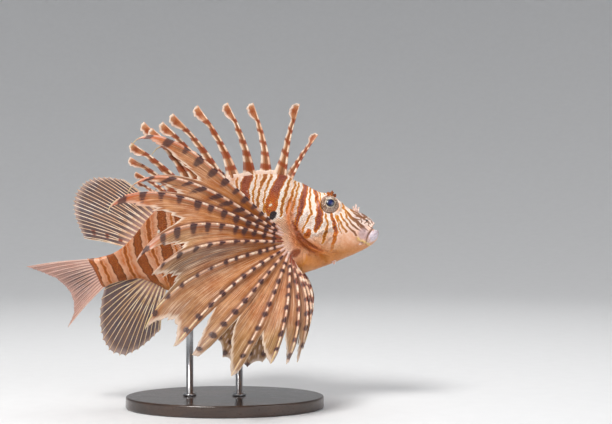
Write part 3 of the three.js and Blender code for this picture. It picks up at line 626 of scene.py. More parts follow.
def skin_material(name, colours, scales):
    """Cream ground with bars, lines and spots: each edge is where a signed distance plus a little
    noise passes 0. Bars are mottled brown with a golden edge, and the ground is whitest beside
    them."""
    n = Nodes(name)
    fine, grain, cloud = n.noise(1500), n.noise(620), n.noise(150)
    dots = n.step(n.cells(760), 0.42, 0.12)
    clouds = n.step(cloud + grain * 0.6, -0.3, 0.35)
    mottle = n.step(grain + cloud * 0.8, -0.32, 0.36)
    jitter = grain * 1.3 + fine * 0.7
    front, snout, ember = n.number("front"), n.number("snout"), n.number("ember")
    in_bar, in_line = n.number("dark"), n.number("gold")
    dark = in_bar + jitter * 0.4 + cloud * 0.9
    gold = in_line + jitter * 0.35 + cloud * 0.8 + snout * 0.06
    strength = 1.0 - n.number("belly") * 0.7
    bar = n.step(dark, -0.35, 0.2) * strength
    line = n.step(gold, -0.45, 0.2) * (strength * 0.95)
    near_bar = n.step(in_bar + grain * 1.6 + cloud * 5.0, -6.0, -0.8)
    near_line = n.step(in_line + grain * 1.2 + cloud * 2.2, -2.4, -0.3)
    ground = n.layers(
        n.mix(front, colours.ground_tail, colours.ground_front),
        (clouds * (front * 0.4 + 0.4), colours.ground_pink),
        (n.math("MAXIMUM", near_bar, near_line * 0.9),
         n.mix(front, shade(222, 170, 142), colours.white)),
        (snout * n.step(cloud, -0.2, 0.3), shade(206, 182, 178)),
        (n.number("fleshy") * 0.8, n.mix(clouds, shade(238, 206, 190), shade(250, 236, 226))),
        (n.number("blush") * 0.72, n.mix(clouds, shade(216, 150, 112), shade(240, 198, 168))),
        (n.number("belly"), n.mix(clouds, colours.belly, shade(208, 148, 100))),
        (n.step(fine + grain * 0.5, 0.12, 0.3) * 0.3, shade(190, 124, 80)))
    bar_colour = n.layers(
        n.mix(front, colours.bar_tail, colours.bar_front),
        (mottle, n.mix(front, shade(140, 66, 12), shade(122, 62, 50))),
        (dots * 0.5, n.mix(front, shade(200, 118, 40), shade(204, 142, 124))),
        (ember * 0.85, n.mix(mottle, shade(224, 110, 22), shade(160, 58, 10))),
        (ember * n.step(fine + grain, 0.06, 0.2) * 0.75, shade(250, 196, 120)))
    rim = n.mix(front, colours.rim_tail, colours.rim_front)
    line_colour = n.layers(
        n.mix(front, colours.gold_tail, colours.gold_front),
        (n.step(gold, 0.25, 0.8), n.mix(front, shade(150, 72, 14), shade(152, 84, 24))),
        (snout * 0.85, shade(98, 58, 40)))
    pearl = n.step(n.number("jaw") + grain * 0.5 + cloud * 0.7, 0.2, 0.95)
    skin = n.layers(
        ground,
        (line, line_colour),
        (n.number("flush") * 0.78, n.mix(clouds, shade(186, 98, 48), shade(216, 138, 84))),
        (bar, n.mix(n.step(dark + grain * 1.6, 0.55, 1.35), rim, bar_colour)),
        # Painted shade in the gill cover's grooves, and the dark orange-brown patch on the fin's shoulder
        (n.step(n.number("fold") + jitter * 0.7, -1.3, 0.9) * 0.82, shade(126, 50, 20)),
        (n.step(n.number("spot") + grain * 1.6, -0.4, 0.4),
         n.mix(dots, shade(34, 22, 24), shade(58, 44, 50))),
        (n.step(n.number("white") + grain * 1.2, -0.4, 0.3), shade(240, 228, 214)),
        (n.number("lip") * 0.8, n.mix(clouds, shade(168, 144, 148), shade(196, 174, 177))),
        (pearl * 0.92,
         n.mix(n.step(grain, -0.25, 0.3), shade(190, 177, 190), shade(238, 231, 238))),
        (n.number("frill") * 0.85, shade(242, 212, 146)),
        # Painted shade in the mouth's line and under the jaw plate's frill
        (n.number("groove") * 0.6, shade(96, 62, 60)),
        (n.step(fine, -0.05, 0.3) * 0.14, shade(92, 54, 40)))
    if scales:
        bumped = n.bump(fine, 0.00012, 0.5)
    else:
        bumped = n.bump(n.cells(820, (1, 1, 1.15)) * 0.7 + fine * 0.5, 0.00022, 0.6)
    return n.finish(n.vivid(skin, 1.12), grain * 0.16 + 0.42 + fine * 0.1, bumped,
                    Specular_IOR_Level=0.45, Coat_Weight=0.18, Coat_Roughness=0.28,
                    Subsurface_Weight=0.06, Subsurface_Scale=0.003)


def eye_material(name):
    """Dark pupil with a painted blue sheen towards its middle, faint pale ring and speckled iris, by
    the distance off the eye's axis in mm, carried on the mesh as radius, and the angle round it,
    which is the UV map's first direction."""
    n = Nodes(name)
    radius = n.number("radius")
    fleck = n.noise(1100, 4)
    streak = n.streaks(34, 1.4, 3)
    iris = n.layers(
        shade(112, 84, 66),
        (n.step(streak + fleck * 0.3, 0.02, 0.12), shade(238, 222, 204)),
        (n.step(fleck, 0.04, 0.16), shade(72, 48, 40)),
        (n.step(radius + streak * 3.0, 5.2, 6.6) * 0.85,
         n.mix(n.step(fleck, -0.1, 0.1), shade(206, 178, 158), shade(104, 78, 66))))
    ring = n.mix(n.step(radius + fleck * 1.2 + streak * 5.0, 3.7, 4.2), shade(198, 178, 152), iris)
    # Dark pupil with a painted blue sheen towards its middle
    pupil = n.mix(n.step(radius, 0.4, 3.2), shade(26, 38, 96), shade(5, 6, 20))
    colour = n.mix(n.step(radius + fleck * 0.25, 3.55, 3.75), pupil, ring)
    bumped = n.bump(streak + fleck, 0.00015, n.step(radius, 3.6, 4.2))
    return n.finish(n.vivid(colour, 1.12), 0.3, bumped, Specular_IOR_Level=0.6, Coat_Weight=1.0,
                    Coat_Roughness=0.03)


def web_material(name, colours):
    """Pectoral, pelvic and spine webs: tan skin with golden, olive and grey regions, fine streaks
    that run with the rays and soft dark smudges below each dark band of a ray."""
    n = Nodes(name)
    streak, hair = n.streaks(1.4, 13, 4), n.streaks(2.6, 46, 3)
    blotch, grain = n.noise(110), n.noise(900)
    golden = n.number("golden")
    # Painted shade: dark streaks in the golden root of the webs, where they lie in shade
    deep = n.step(golden, 0.55, 1.0) * n.step(hair + streak, -0.15, 0.15)
    smudge = n.number("smudge") + blotch * 1.6 + grain * 1.2 + hair * 1.4
    smudge_colour = n.mix(n.step(smudge, -0.3, 1.0), shade(112, 66, 60), shade(52, 28, 34))
    base = n.layers(
        n.mix(n.step(blotch + streak * 0.8, -0.3, 0.3), colours.web, colours.web_pale),
        (golden * 0.85, colours.web_golden),
        (n.number("olive") * 0.75, colours.web_olive),
        (n.number("ashen") * n.step(streak, -0.25, 0.15),
         n.mix(n.step(hair, -0.1, 0.15), shade(112, 100, 100), shade(186, 170, 150))),
        (n.step(streak, -0.02, 0.2) * 0.65, shade(126, 74, 48)),
        (n.step(hair, 0.02, 0.16) * 0.6, shade(246, 218, 194)),
        (n.step(hair, -0.04, -0.18) * 0.62, shade(112, 66, 44)),
        # painted shade at the webs' golden root
        (deep * 0.75, shade(112, 54, 18)),
        # Painted shade beside the pectoral rays, and a darker brown along the spine flaps
        (n.number("hollow") * 0.75, shade(108, 62, 40)),
        (n.number("margin") * 0.9, shade(250, 232, 214)),
        (n.number("blaze") * 0.8,
         n.mix(n.step(streak, -0.2, 0.2), colours.flame, shade(196, 112, 84))),
        (n.number("seam") * 0.8, shade(244, 220, 206)),
        (n.step(smudge, -1.0, 1.0) * 0.84,
         n.mix(n.number("brown"), smudge_colour, shade(142, 68, 40))),
        (n.step(grain, 0.05, 0.3) * 0.2, shade(120, 78, 52)))
    bumped = n.bump(streak + grain * 0.25, 0.0005, 0.55)
    return n.finish(n.vivid(base, 1.14, 0.9), grain * 0.2 + 0.46, bumped, Alpha=n.number("cover"),
                    Specular_IOR_Level=0.4, Coat_Weight=0.1, Coat_Roughness=0.3)


def ray_material(name, colours):
    """Fin rays and spines: pale with dark bands where the band distance passes 0, in fine rings,
    flushed at the tips."""
    n = Nodes(name)
    grain, blotch = n.noise(900), n.noise(170, 2)
    rings = n.streaks(9, 0.6, 1)
    pale = n.layers(
        n.mix(n.step(blotch + rings, -0.3, 0.35), colours.ray, colours.ray_warm),
        (n.step(n.noise(120, 2), -0.08, 0.12) * 0.7, shade(208, 156, 124)),
        (n.number("blaze") * 0.9, colours.flame),
        (n.number("olive") * 0.6, shade(206, 190, 120)),
        (n.number("rosy") * 0.75, shade(216, 180, 170)))
    band = n.number("band") + grain * 0.9 + blotch * 0.6
    rim = n.mix(n.step(band, -1.4, -0.2), pale, n.mix(0.6, pale, shade(188, 104, 72)))
    brown = n.mix(n.step(grain, -0.25, 0.3), colours.bar_front, shade(128, 62, 36))
    dark = n.mix(n.number("brown"), n.mix(n.step(grain, -0.2, 0.3), colours.band,
                                          shade(88, 46, 46)), brown)
    colour = n.vivid(n.mix(n.step(band, -0.55, 0.4), rim, dark), 1.08)
    return n.finish(colour, grain * 0.15 + 0.42, n.bump(rings + grain * 0.6, 0.0003, 0.5),
                    Specular_IOR_Level=0.45, Coat_Weight=0.12, Coat_Roughness=0.25)


def clear_material(name, colours):
    """Thin webs of the tail, back and anal fins: greyish, partly see-through, paler at the margin,
    rosy where warm, with fine streaks and a few dark spots."""
    n = Nodes(name)
    streak, blotch = n.streaks(2.0, 22, 4), n.noise(120)
    spot = n.step(n.number("band") + blotch * 2.0, -0.6, 0.6)
    base = n.layers(
        n.mix(n.step(blotch + streak * 0.7, -0.3, 0.3), colours.clear, colours.clear_warm),
        (n.number("margin") * 0.5, shade(214, 190, 180)),
        (n.number("warm") * 0.85,
         n.mix(n.step(streak, -0.15, 0.2), shade(188, 142, 128), shade(222, 188, 178))),
        (spot * 0.85, shade(74, 44, 38)))
    return n.finish(n.vivid(base, 1.15), 0.4, n.bump(streak, 0.0004, 0.5), Specular_IOR_Level=0.45,
                    Alpha=n.number("cover") + streak * 0.2 + spot * 0.3)


def leaf_material(name):
    """Fleshy tentacles: mottled brown, or pale where the mesh says so."""
    n = Nodes(name)
    grain = n.noise(900)
    mottle = n.noise(300, 2) + grain
    warm = n.mix(n.step(mottle, -0.1, 0.15), shade(84, 42, 26), shade(178, 100, 50))
    light = n.mix(n.step(mottle, -0.25, 0.25), shade(206, 164, 150), shade(244, 226, 216))
    return n.finish(n.vivid(n.mix(n.number("pale"), warm, light), 1.15), 0.45,
                    n.bump(grain, 0.0003, 0.5), Coat_Weight=0.1, Coat_Roughness=0.3)


def wood_material(name, colours):
    """Dark lacquered wood: long rings bent by noise, and fine pores along the grain."""
    n = Nodes(name)
    rings = n.noise(14, 6, 0.6, stretch=(0.5, 5, 5))
    pores = n.noise(90, 4, 0.6, stretch=(1, 14, 14))
    colour = n.layers(n.mix(n.step(rings, -0.25, 0.3), colours.wood, shade(74, 52, 40)),
                      (n.step(pores, 0.02, 0.25) * 0.6, shade(24, 18, 15)))
    return n.finish(colour, pores * 0.2 + 0.3, n.bump(pores, 0.0002, 0.25), Coat_Weight=0.7,
                    Coat_Roughness=0.12)


def steel_material(name, colours):
    """Brushed steel: fine scratches round the rod."""
    n = Nodes(name)
    brushed = n.noise(300, stretch=(1, 1, 22))
    colour = n.mix(n.step(brushed, -0.3, 0.3), colours.steel, shade(150, 150, 152))
    return n.finish(colour, brushed * 0.25 + 0.3, n.bump(brushed, 0.00008, 0.5), Metallic=1.0)


def plain_material(name, colour):
    """Matt studio paper with the faintest grain."""
    n = Nodes(name)
    darker = tuple(part * 0.97 for part in colour)
    return n.finish(n.mix(n.step(n.noise(60, 4), -0.4, 0.4), colour, darker), 0.9,
                    Specular_IOR_Level=0.1)


# Rays and their bands

def ray_points(root, angle, length, bow, peak, reach, early, side, t):
    """Fin ray: x = root x + length (cos a t + sin a b), z = root z + length (sin a t - cos a b),
    y = root y + side reach (1 - (1 - t)^early), with b = bow t^1.3 (1 - t)^q over its own peak,
    q = 1.3 (1 - peak) / peak. All arguments may be arrays of one shape."""
    power = 1.3
    fall = power * (1 - peak) / peak
    bend = bow * t ** power * (1 - t) ** fall / (peak ** power * (1 - peak) ** fall)
    turn = np.radians(angle)
    return np.stack([
        root[..., 0] + length * (np.cos(turn) * t + np.sin(turn) * bend),
        root[..., 1] + side * reach * (1 - (1 - t) ** early),
        root[..., 2] + length * (np.sin(turn) * t - np.cos(turn) * bend),
    ], axis=-1)


# Pectoral fin: angle, length, bow, where the bow peaks, reach outwards
PECTORAL_RAYS = np.array([
    [150.5, 139, 0.149, 0.75, 42], [164.8, 127, 0.167, 0.7, 52], [171.4, 139, 0.146, 0.7, 60],
    [187.9, 116, 0.19, 0.6, 66], [193.4, 106, 0.12, 0.6, 70], [210.5, 126, 0.125, 0.6, 73],
    [220.7, 115, 0.05, 0.5, 74], [227.3, 109, -0.02, 0.6, 72], [244.9, 105, -0.034, 0.5, 67],
    [260.0, 86, -0.06, 0.55, 59], [267.7, 84, -0.1, 0.55, 50], [273.1, 82, -0.13, 0.5, 41],
    [276.8, 71, -0.15, 0.5, 33], [277.5, 62, -0.19, 0.5, 26],
])
# Pectoral webs: share of the rays fully webbed, how fast the fringe leaves each ray, and whether
# the lower ray carries a lobe
PECTORAL_WEBS = [
    (0.26, 0.6, 9, False), (0.34, 0.6, 9, False), (0.36, 0.56, 9, False), (0.42, 0.54, 8, False),
    (0.5, 0.6, 7, False), (0.7, 0.9, 3, False), (0.6, 0.1, 0.75, True), (0.52, 0.12, 0.6, True),
    (0.57, 0.14, 0.6, True), (0.62, 0.12, 0.6, True), (0.62, 0.12, 0.7, True),
    (0.66, 0.12, 0.8, True), (0.72, 0.12, 0.9, True),
]
# How olive and how ashen each web is
WEB_OLIVE = 0, 0, 0, 0.8, 0.7, 0.35, 0.4, 0.8, 0.9, 0.8, 0.7, 0.6, 0.5
WEB_ASHEN = 0, 0, 0, 0.3, 0.95, 0.25, 0.05, 0.1, 0.2, 0.3, 0.5, 0.6, 0.6
PECTORAL_ROOT = np.array([[50.4, 18, 149.5], [58.6, 16, 124]])
PELVIC_RAYS = np.array([[264, 62], [256, 72], [249, 79], [242, 82], [235, 80], [227, 70]], float)
PELVIC_ROOT = np.array([[52, 6.5, 113], [44, 5.5, 110.5]])
SOFT_FINS = {
    "dorsal_fin_soft": {
        "base": [[-54, 0, 168], [-83, 0, 136]], "sway": 7, "rays": 12, "ray": 0.62,
        "fan": [[142, 42], [143.5, 54], [145.5, 63], [148.6, 67.5], [152, 68], [155.4, 65],
                [159, 58], [163, 48.5], [169, 38]],
    },
    "anal_fin": {
        "base": [[-50, 0, 103], [-70, 0, 112.5]], "sway": 6, "rays": 10, "ray": 0.66,
        "fan": [[262, 38], [256.5, 49], [251, 61], [245.6, 71], [238.4, 73.5], [232, 69],
                [224.5, 60], [214, 47.5], [196.5, 33]],
    },
    "caudal_fin": {
        "base": [[-112.5, 0, 125.6], [-101.5, 0, 103.6]], "sway": 10, "rays": 14, "ray": 0.42,
        "fan": [[186.2, 57.5], [190.4, 46], [195, 37.5], [203.5, 33.5], [212, 31.5], [220, 33],
                [226, 38.5], [227.8, 48.5]],
    },
}


def web_reach(web, v):
    """Share of the rays' length that a web covers at share v of the way across it:
    full + (1 - full) min((1 - v)^before + v^after, 1). A lobed web keeps a strip of width before
    along the first ray and then rises from a notch with the power after."""
    full, before, after, lobed = web
    if not lobed:
        return full + (1 - full) * np.minimum((1 - v) ** before + v ** after, 1)
    strip = 1 - smooth(v, before, before + 0.14)
    rise = np.clip((v - before - 0.05) / (0.95 - before), 0, 1) ** after
    return full + (1 - full) * np.maximum(strip, rise)


def band_places(length, first, spacing, growth):
    """Middles of a ray's dark bands, in mm from its root: first + spacing k + growth k^2."""
    k = np.arange(40)
    places = first + spacing * k + growth * k * k
    return places[places < length - 3]


def band_field(s, places, share_near, share_far, length):
    """Signed distance in mm into the nearest band, whose half length is a share of the spacing
    that shrinks from the root to the tip."""
    gaps = np.gradient(places) if len(places) > 1 else np.full(len(places), 8.0)
    share = share_near + (share_far - share_near) * places / length
    share = share * (1 + 0.3 * np.sin(places * 1.9 + length))
    half = gaps * share / 2
    inside = half[None, :] - np.abs(s.reshape(-1, 1) - places[None, :])
    return np.max(inside, axis=1).reshape(s.shape)


def spot_field(s, near, places, radius, slant, flat):
    """Signed distance in mm into the nearest spot of a ray: radius less the distance from its
    middle, which is reckoned from s - slant near along the ray and flat near across it. The
    radius grows by half from the first spot to the last."""
    grown = radius * (0.8 + 0.6 * places / places[-1]) * (1 + 0.2 * np.sin(places * 2.7 + radius))
    along = (s - slant * near).reshape(-1, 1) - places[None, :]
    away = np.hypot(along, (flat * near).reshape(-1, 1))
    return np.max(grown[None, :] - away, axis=1).reshape(s.shape)


def length_property(name, description, default, low, high):
    """A length in metres."""
    return bpy.props.FloatProperty(name=name, description=description, default=default, min=low,
                                   max=high, precision=5, unit="LENGTH", subtype="DISTANCE")


class LionfishSizes(bpy.types.PropertyGroup):
    """Sizes that a maker may want to change."""

    coat_depth: length_property("Coat depth", "How far the skin lies inside the plain body",
                                0.0003, 0, 0.002)
    scale_length: length_property("Scale length", "Length of a body scale", 0.0016, 0.0005, 0.005)
    web_thickness: length_property("Web thickness", "Thickness of the fin webs", 0.0005, 0.0001,
                                   0.002)
    ray_root: length_property("Ray at root", "Half thickness of a pectoral ray at its root",
                              0.00095, 0.0002, 0.003)
    ray_tip: length_property("Ray at tip", "Half thickness of a pectoral ray at its tip", 0.00045,
                             0.0001, 0.002)


def colour_property(name, description, red, green, blue):
    """A colour of the model, given as a screen colour."""
    return bpy.props.FloatVectorProperty(name=name, description=description, subtype="COLOR",
                                         size=3, min=0, max=1, default=shade(red, green, blue))


class LionfishColours(bpy.types.PropertyGroup):
    """Colours that a maker may want to change."""

    white: colour_property("White", "Ground beside the bars of the head", 248, 235, 226)
    ground_front: colour_property("Ground, front", "Ground of the head and trunk", 236, 196, 166)
    ground_tail: colour_property("Ground, tail", "Ground of the tail", 200, 114, 62)
    ground_pink: colour_property("Ground, pink", "Clouds in the ground", 222, 168, 142)
    belly: colour_property("Belly", "Throat and belly", 188, 120, 72)
    bar_front: colour_property("Bar, front", "Wide bars of the head", 156, 88, 72)
    bar_tail: colour_property("Bar, tail", "Wide bars of the tail", 158, 76, 14)
    rim_front: colour_property("Bar edge, front", "Edges of the head's bars", 200, 116, 40)
    rim_tail: colour_property("Bar edge, tail", "Edges of the tail's bars", 126, 62, 6)
    gold_front: colour_property("Line, front", "Thin lines of the head", 206, 134, 46)
    gold_tail: colour_property("Line, tail", "Thin lines of the tail", 196, 110, 40)
    web: colour_property("Web", "Pectoral webs", 170, 106, 72)
    web_pale: colour_property("Web, pale", "Pale clouds of the pectoral webs", 216, 164, 126)
    web_golden: colour_property("Web, golden", "Upper pectoral webs", 170, 98, 36)
    web_olive: colour_property("Web, olive", "Lower and outer webs", 168, 144, 98)
    ray: colour_property("Ray", "Pale parts of the rays", 246, 230, 214)
    ray_warm: colour_property("Ray, warm", "Warmer parts of the rays", 228, 190, 158)
    flame: colour_property("Flame", "Tips of the rays", 206, 98, 62)
    band: colour_property("Band", "Dark bands of the rays", 62, 30, 36)
    clear: colour_property("Clear web", "Webs of the tail fins", 80, 66, 72)
    clear_warm: colour_property("Clear web, warm", "Warm clouds of the clear webs", 112, 88, 78)
    wood: colour_property("Wood", "Stand", 46, 34, 28)
    steel: colour_property("Steel", "Rods", 196, 198, 202)


def settings():
    """The sizes and colours of this scene."""
    return bpy.context.scene.lionfish_sizes, bpy.context.scene.lionfish_colours


BODY_NODES = ("head", "lower_jaw", "gill_cover_right", "gill_cover_left", "trunk", "tail_stem")


class LionfishSkin(bpy.types.Operator):
    """One closed skin over the whole body, with mouth, lips, eye sockets and gill covers"""

    bl_idname = "lionfish.skin"
    bl_label = "Skin"

    def execute(self, context):
        sizes, colours = settings()
        x = np.concatenate([np.linspace(TAIL_X, 50, 200)[:-1], np.linspace(50, NOSE_X, 232)])
        angle = np.linspace(0, TURN, 220, endpoint=False)
        grid_x, grid_a = np.meshgrid(x, angle, indexing="ij")
        points = body_points(grid_x, grid_a, sizes.coat_depth / MM)
        around = np.roll(points, -1, axis=1) - np.roll(points, 1, axis=1)
        normal = unit(np.cross(around, np.gradient(points, axis=0)))
        height = relief(points[..., 0], points[..., 2], np.abs(normal[..., 1]))
        points = points + normal * height[..., None]
        ends = np.stack([points[0].mean(axis=0), points[-1].mean(axis=0)])
        every = np.concatenate([points.reshape(-1, 3), ends])
        quads, caps = closed_grid(*grid_x.shape)
        uv = np.stack([(grid_x - TAIL_X) / UV_LENGTH, grid_a / UV_TURN], axis=-1)
        skin = Shape()
        skin.add(every, quads=quads, triangles=caps, uv=with_poles(uv), **markings(every))
        skin.piece("skin", skin_material("lionfish_skin", colours, False), "skin", BODY_NODES)
        return {"FINISHED"}


class LionfishScales(bpy.types.Operator):
    """Small overlapping scales over the trunk, tail and cheeks"""

    bl_idname = "lionfish.scales"
    bl_label = "Scales"

    def execute(self, context):
        sizes, colours = settings()
        length = sizes.scale_length / MM
        random = np.random.default_rng(7)
        stations = np.arange(TAIL_X + 6, 100, length * 0.8)
        rows = np.arange(150)
        station, row = np.meshgrid(np.arange(len(stations)), rows, indexing="ij")
        x = stations[station] + random.normal(0, 0.08, station.shape)
        angle = (row + 0.5 * (station % 2)) / len(rows) * TURN
        angle = angle + random.normal(0, 0.004, angle.shape)
        depth = sizes.coat_depth / MM

        def surface(px, pa):
            """Points of the skin, its outward normals and its directions along the body."""
            base = body_points(px, pa, depth)
            along = body_points(px + 0.05, pa, depth) - base
            around = body_points(px, pa + 0.01, depth) - base
            normal = unit(np.cross(around, along))
            raised = relief(base[..., 0], base[..., 2], np.abs(normal[..., 1]))
            return base + normal * raised[..., None], normal, unit(along)

        centre, normal, along = surface(x, angle)
        across = np.cross(normal, along)
        eye = np.hypot(centre[..., 0] - EYE["x"], centre[..., 2] - EYE["z"])
        face = smooth(centre[..., 0], 60, 76)
        border = np.minimum(np.minimum(166 - centre[..., 2], centre[..., 2] - 131),
                            96 - centre[..., 0])
        cheek = border + random.normal(0, 2.5, x.shape) > 2
        gill = np.abs(side_of(centre[..., 0], centre[..., 2], GILL_EDGE))
        keep = ((face < 0.3) | cheek) & (eye > 13) & (gill > 1.2) & (random.random(x.shape) > 0.02)
        crowd = np.linalg.norm(body_points(x, angle + TURN / len(rows), depth)
                               - body_points(x, angle, depth), axis=-1)
        keep &= crowd > 0.35
        centre, normal, along, across = (a[keep] for a in (centre, normal, along, across))
        width = np.clip(crowd[keep] * 0.62, 0.3, length * 0.62)
        size = length * 0.62 * random.uniform(0.9, 1.1, len(centre))
        corners = 7
        turn = np.arange(corners) / corners * TURN
        rear = 0.5 - 0.5 * np.cos(turn)
        rim = (centre[:, None] + np.cos(turn)[None, :, None] * (size[:, None] * along)[:, None]
               + np.sin(turn)[None, :, None] * (width[:, None] * across)[:, None]
               + normal[:, None] * (0.02 + 0.13 * rear)[None, :, None])
        top = centre + normal * 0.19
        low = centre - normal * 0.25
        points = np.concatenate([rim, top[:, None], low[:, None]], axis=1)
        k = np.arange(corners)
        after = (k + 1) % corners
        fan = np.concatenate([np.stack([np.full(corners, corners), k, after], axis=-1),
                              np.stack([np.full(corners, corners + 1), after, k], axis=-1)])
        if np.dot(np.cross(rim[0, 0] - top[0], rim[0, 1] - top[0]), normal[0]) < 0:
            fan = fan[:, ::-1]
        spot = np.concatenate([np.stack([np.cos(turn), np.sin(turn)], axis=-1), np.zeros((2, 2))])
        home = np.stack([(x[keep] - TAIL_X) / UV_LENGTH, (angle[keep] / UV_TURN) % 1.0], axis=-1)
        home = home * 0.96 + 0.02
        uv = home[:, None] + spot[None] * 0.0015
        look = skin_material("lionfish_scales", colours, True)
        for word, side in SIDES.items():
            here = centre[:, 1] * side > 0
            triangles = fan[None] + (np.arange(here.sum()) * (corners + 2))[:, None, None]
            flat = points[here].reshape(-1, 3)
            coat = Shape()
            coat.add(flat, triangles=triangles.reshape(-1, 3), uv=uv[here].reshape(-1, 2),
                     **markings(flat))
            coat.piece(f"scales_{word}", look, "skin", BODY_NODES, "OFBake")
        return {"FINISHED"}


class LionfishEyes(bpy.types.Operator):
    """Two eyeballs with a bulging lens, set in their sockets"""

    bl_idname = "lionfish.eyes"
    bl_label = "Eyes"

    def execute(self, context):
        material = eye_material("lionfish_eye")
        up, forward = math.radians(EYE["up"]), math.radians(EYE["forward"])
        for word, side in SIDES.items():
            axis = np.array([math.cos(up) * math.sin(forward),
                             side * math.cos(up) * math.cos(forward), math.sin(up)])
            first = unit(np.cross([0.0, 0.0, 1.0], axis))
            second = np.cross(axis, first)
            polar = np.linspace(0, np.pi, 66)[1:-1]
            turn = np.linspace(0, TURN, 96, endpoint=False)
            theta, phi = np.meshgrid(polar, turn, indexing="ij")
            off = EYE["radius"] * np.sin(theta)
            lens = 0.35 * smooth(3.9 - off, 0, 0.7) * (np.cos(theta) > 0)
            out = EYE["bulge"] * np.cos(theta) + lens
            centre = np.array([EYE["x"], side * EYE["y"], EYE["z"]])
            points = (centre + off[..., None] * (np.cos(phi)[..., None] * first
                                                 + np.sin(phi)[..., None] * second)
                      + out[..., None] * axis)
            poles = np.stack([centre + axis * (EYE["bulge"] + 0.35), centre - axis * EYE["bulge"]])
            every = np.concatenate([points.reshape(-1, 3), poles])
            quads, caps = closed_grid(*theta.shape)
            uv = np.stack([phi / UV_TURN, theta / 3.2], axis=-1)
            radius = np.concatenate([np.where(theta < np.pi / 2, off, 9).reshape(-1), [0, 9]])
            eye = Shape()
            eye.add(every, quads=quads[:, ::-1], triangles=caps[:, ::-1], uv=with_poles(uv),
                    radius=radius)
            eye.piece(f"eyeball_{word}", material, "eye", [f"eye_{word}"])
        return {"FINISHED"}


def pectoral_ray(i, t, side):
    """Points of pectoral ray i at shares t of its length."""
    share = i / (len(PECTORAL_RAYS) - 1)
    root = PECTORAL_ROOT[0] + (PECTORAL_ROOT[1] - PECTORAL_ROOT[0]) * share
    angle, length, bow, peak, reach = PECTORAL_RAYS[i]
    return ray_points(root * np.array([1, side, 1]), angle, length, bow, peak, reach + 4, 1.5,
                      side, t)


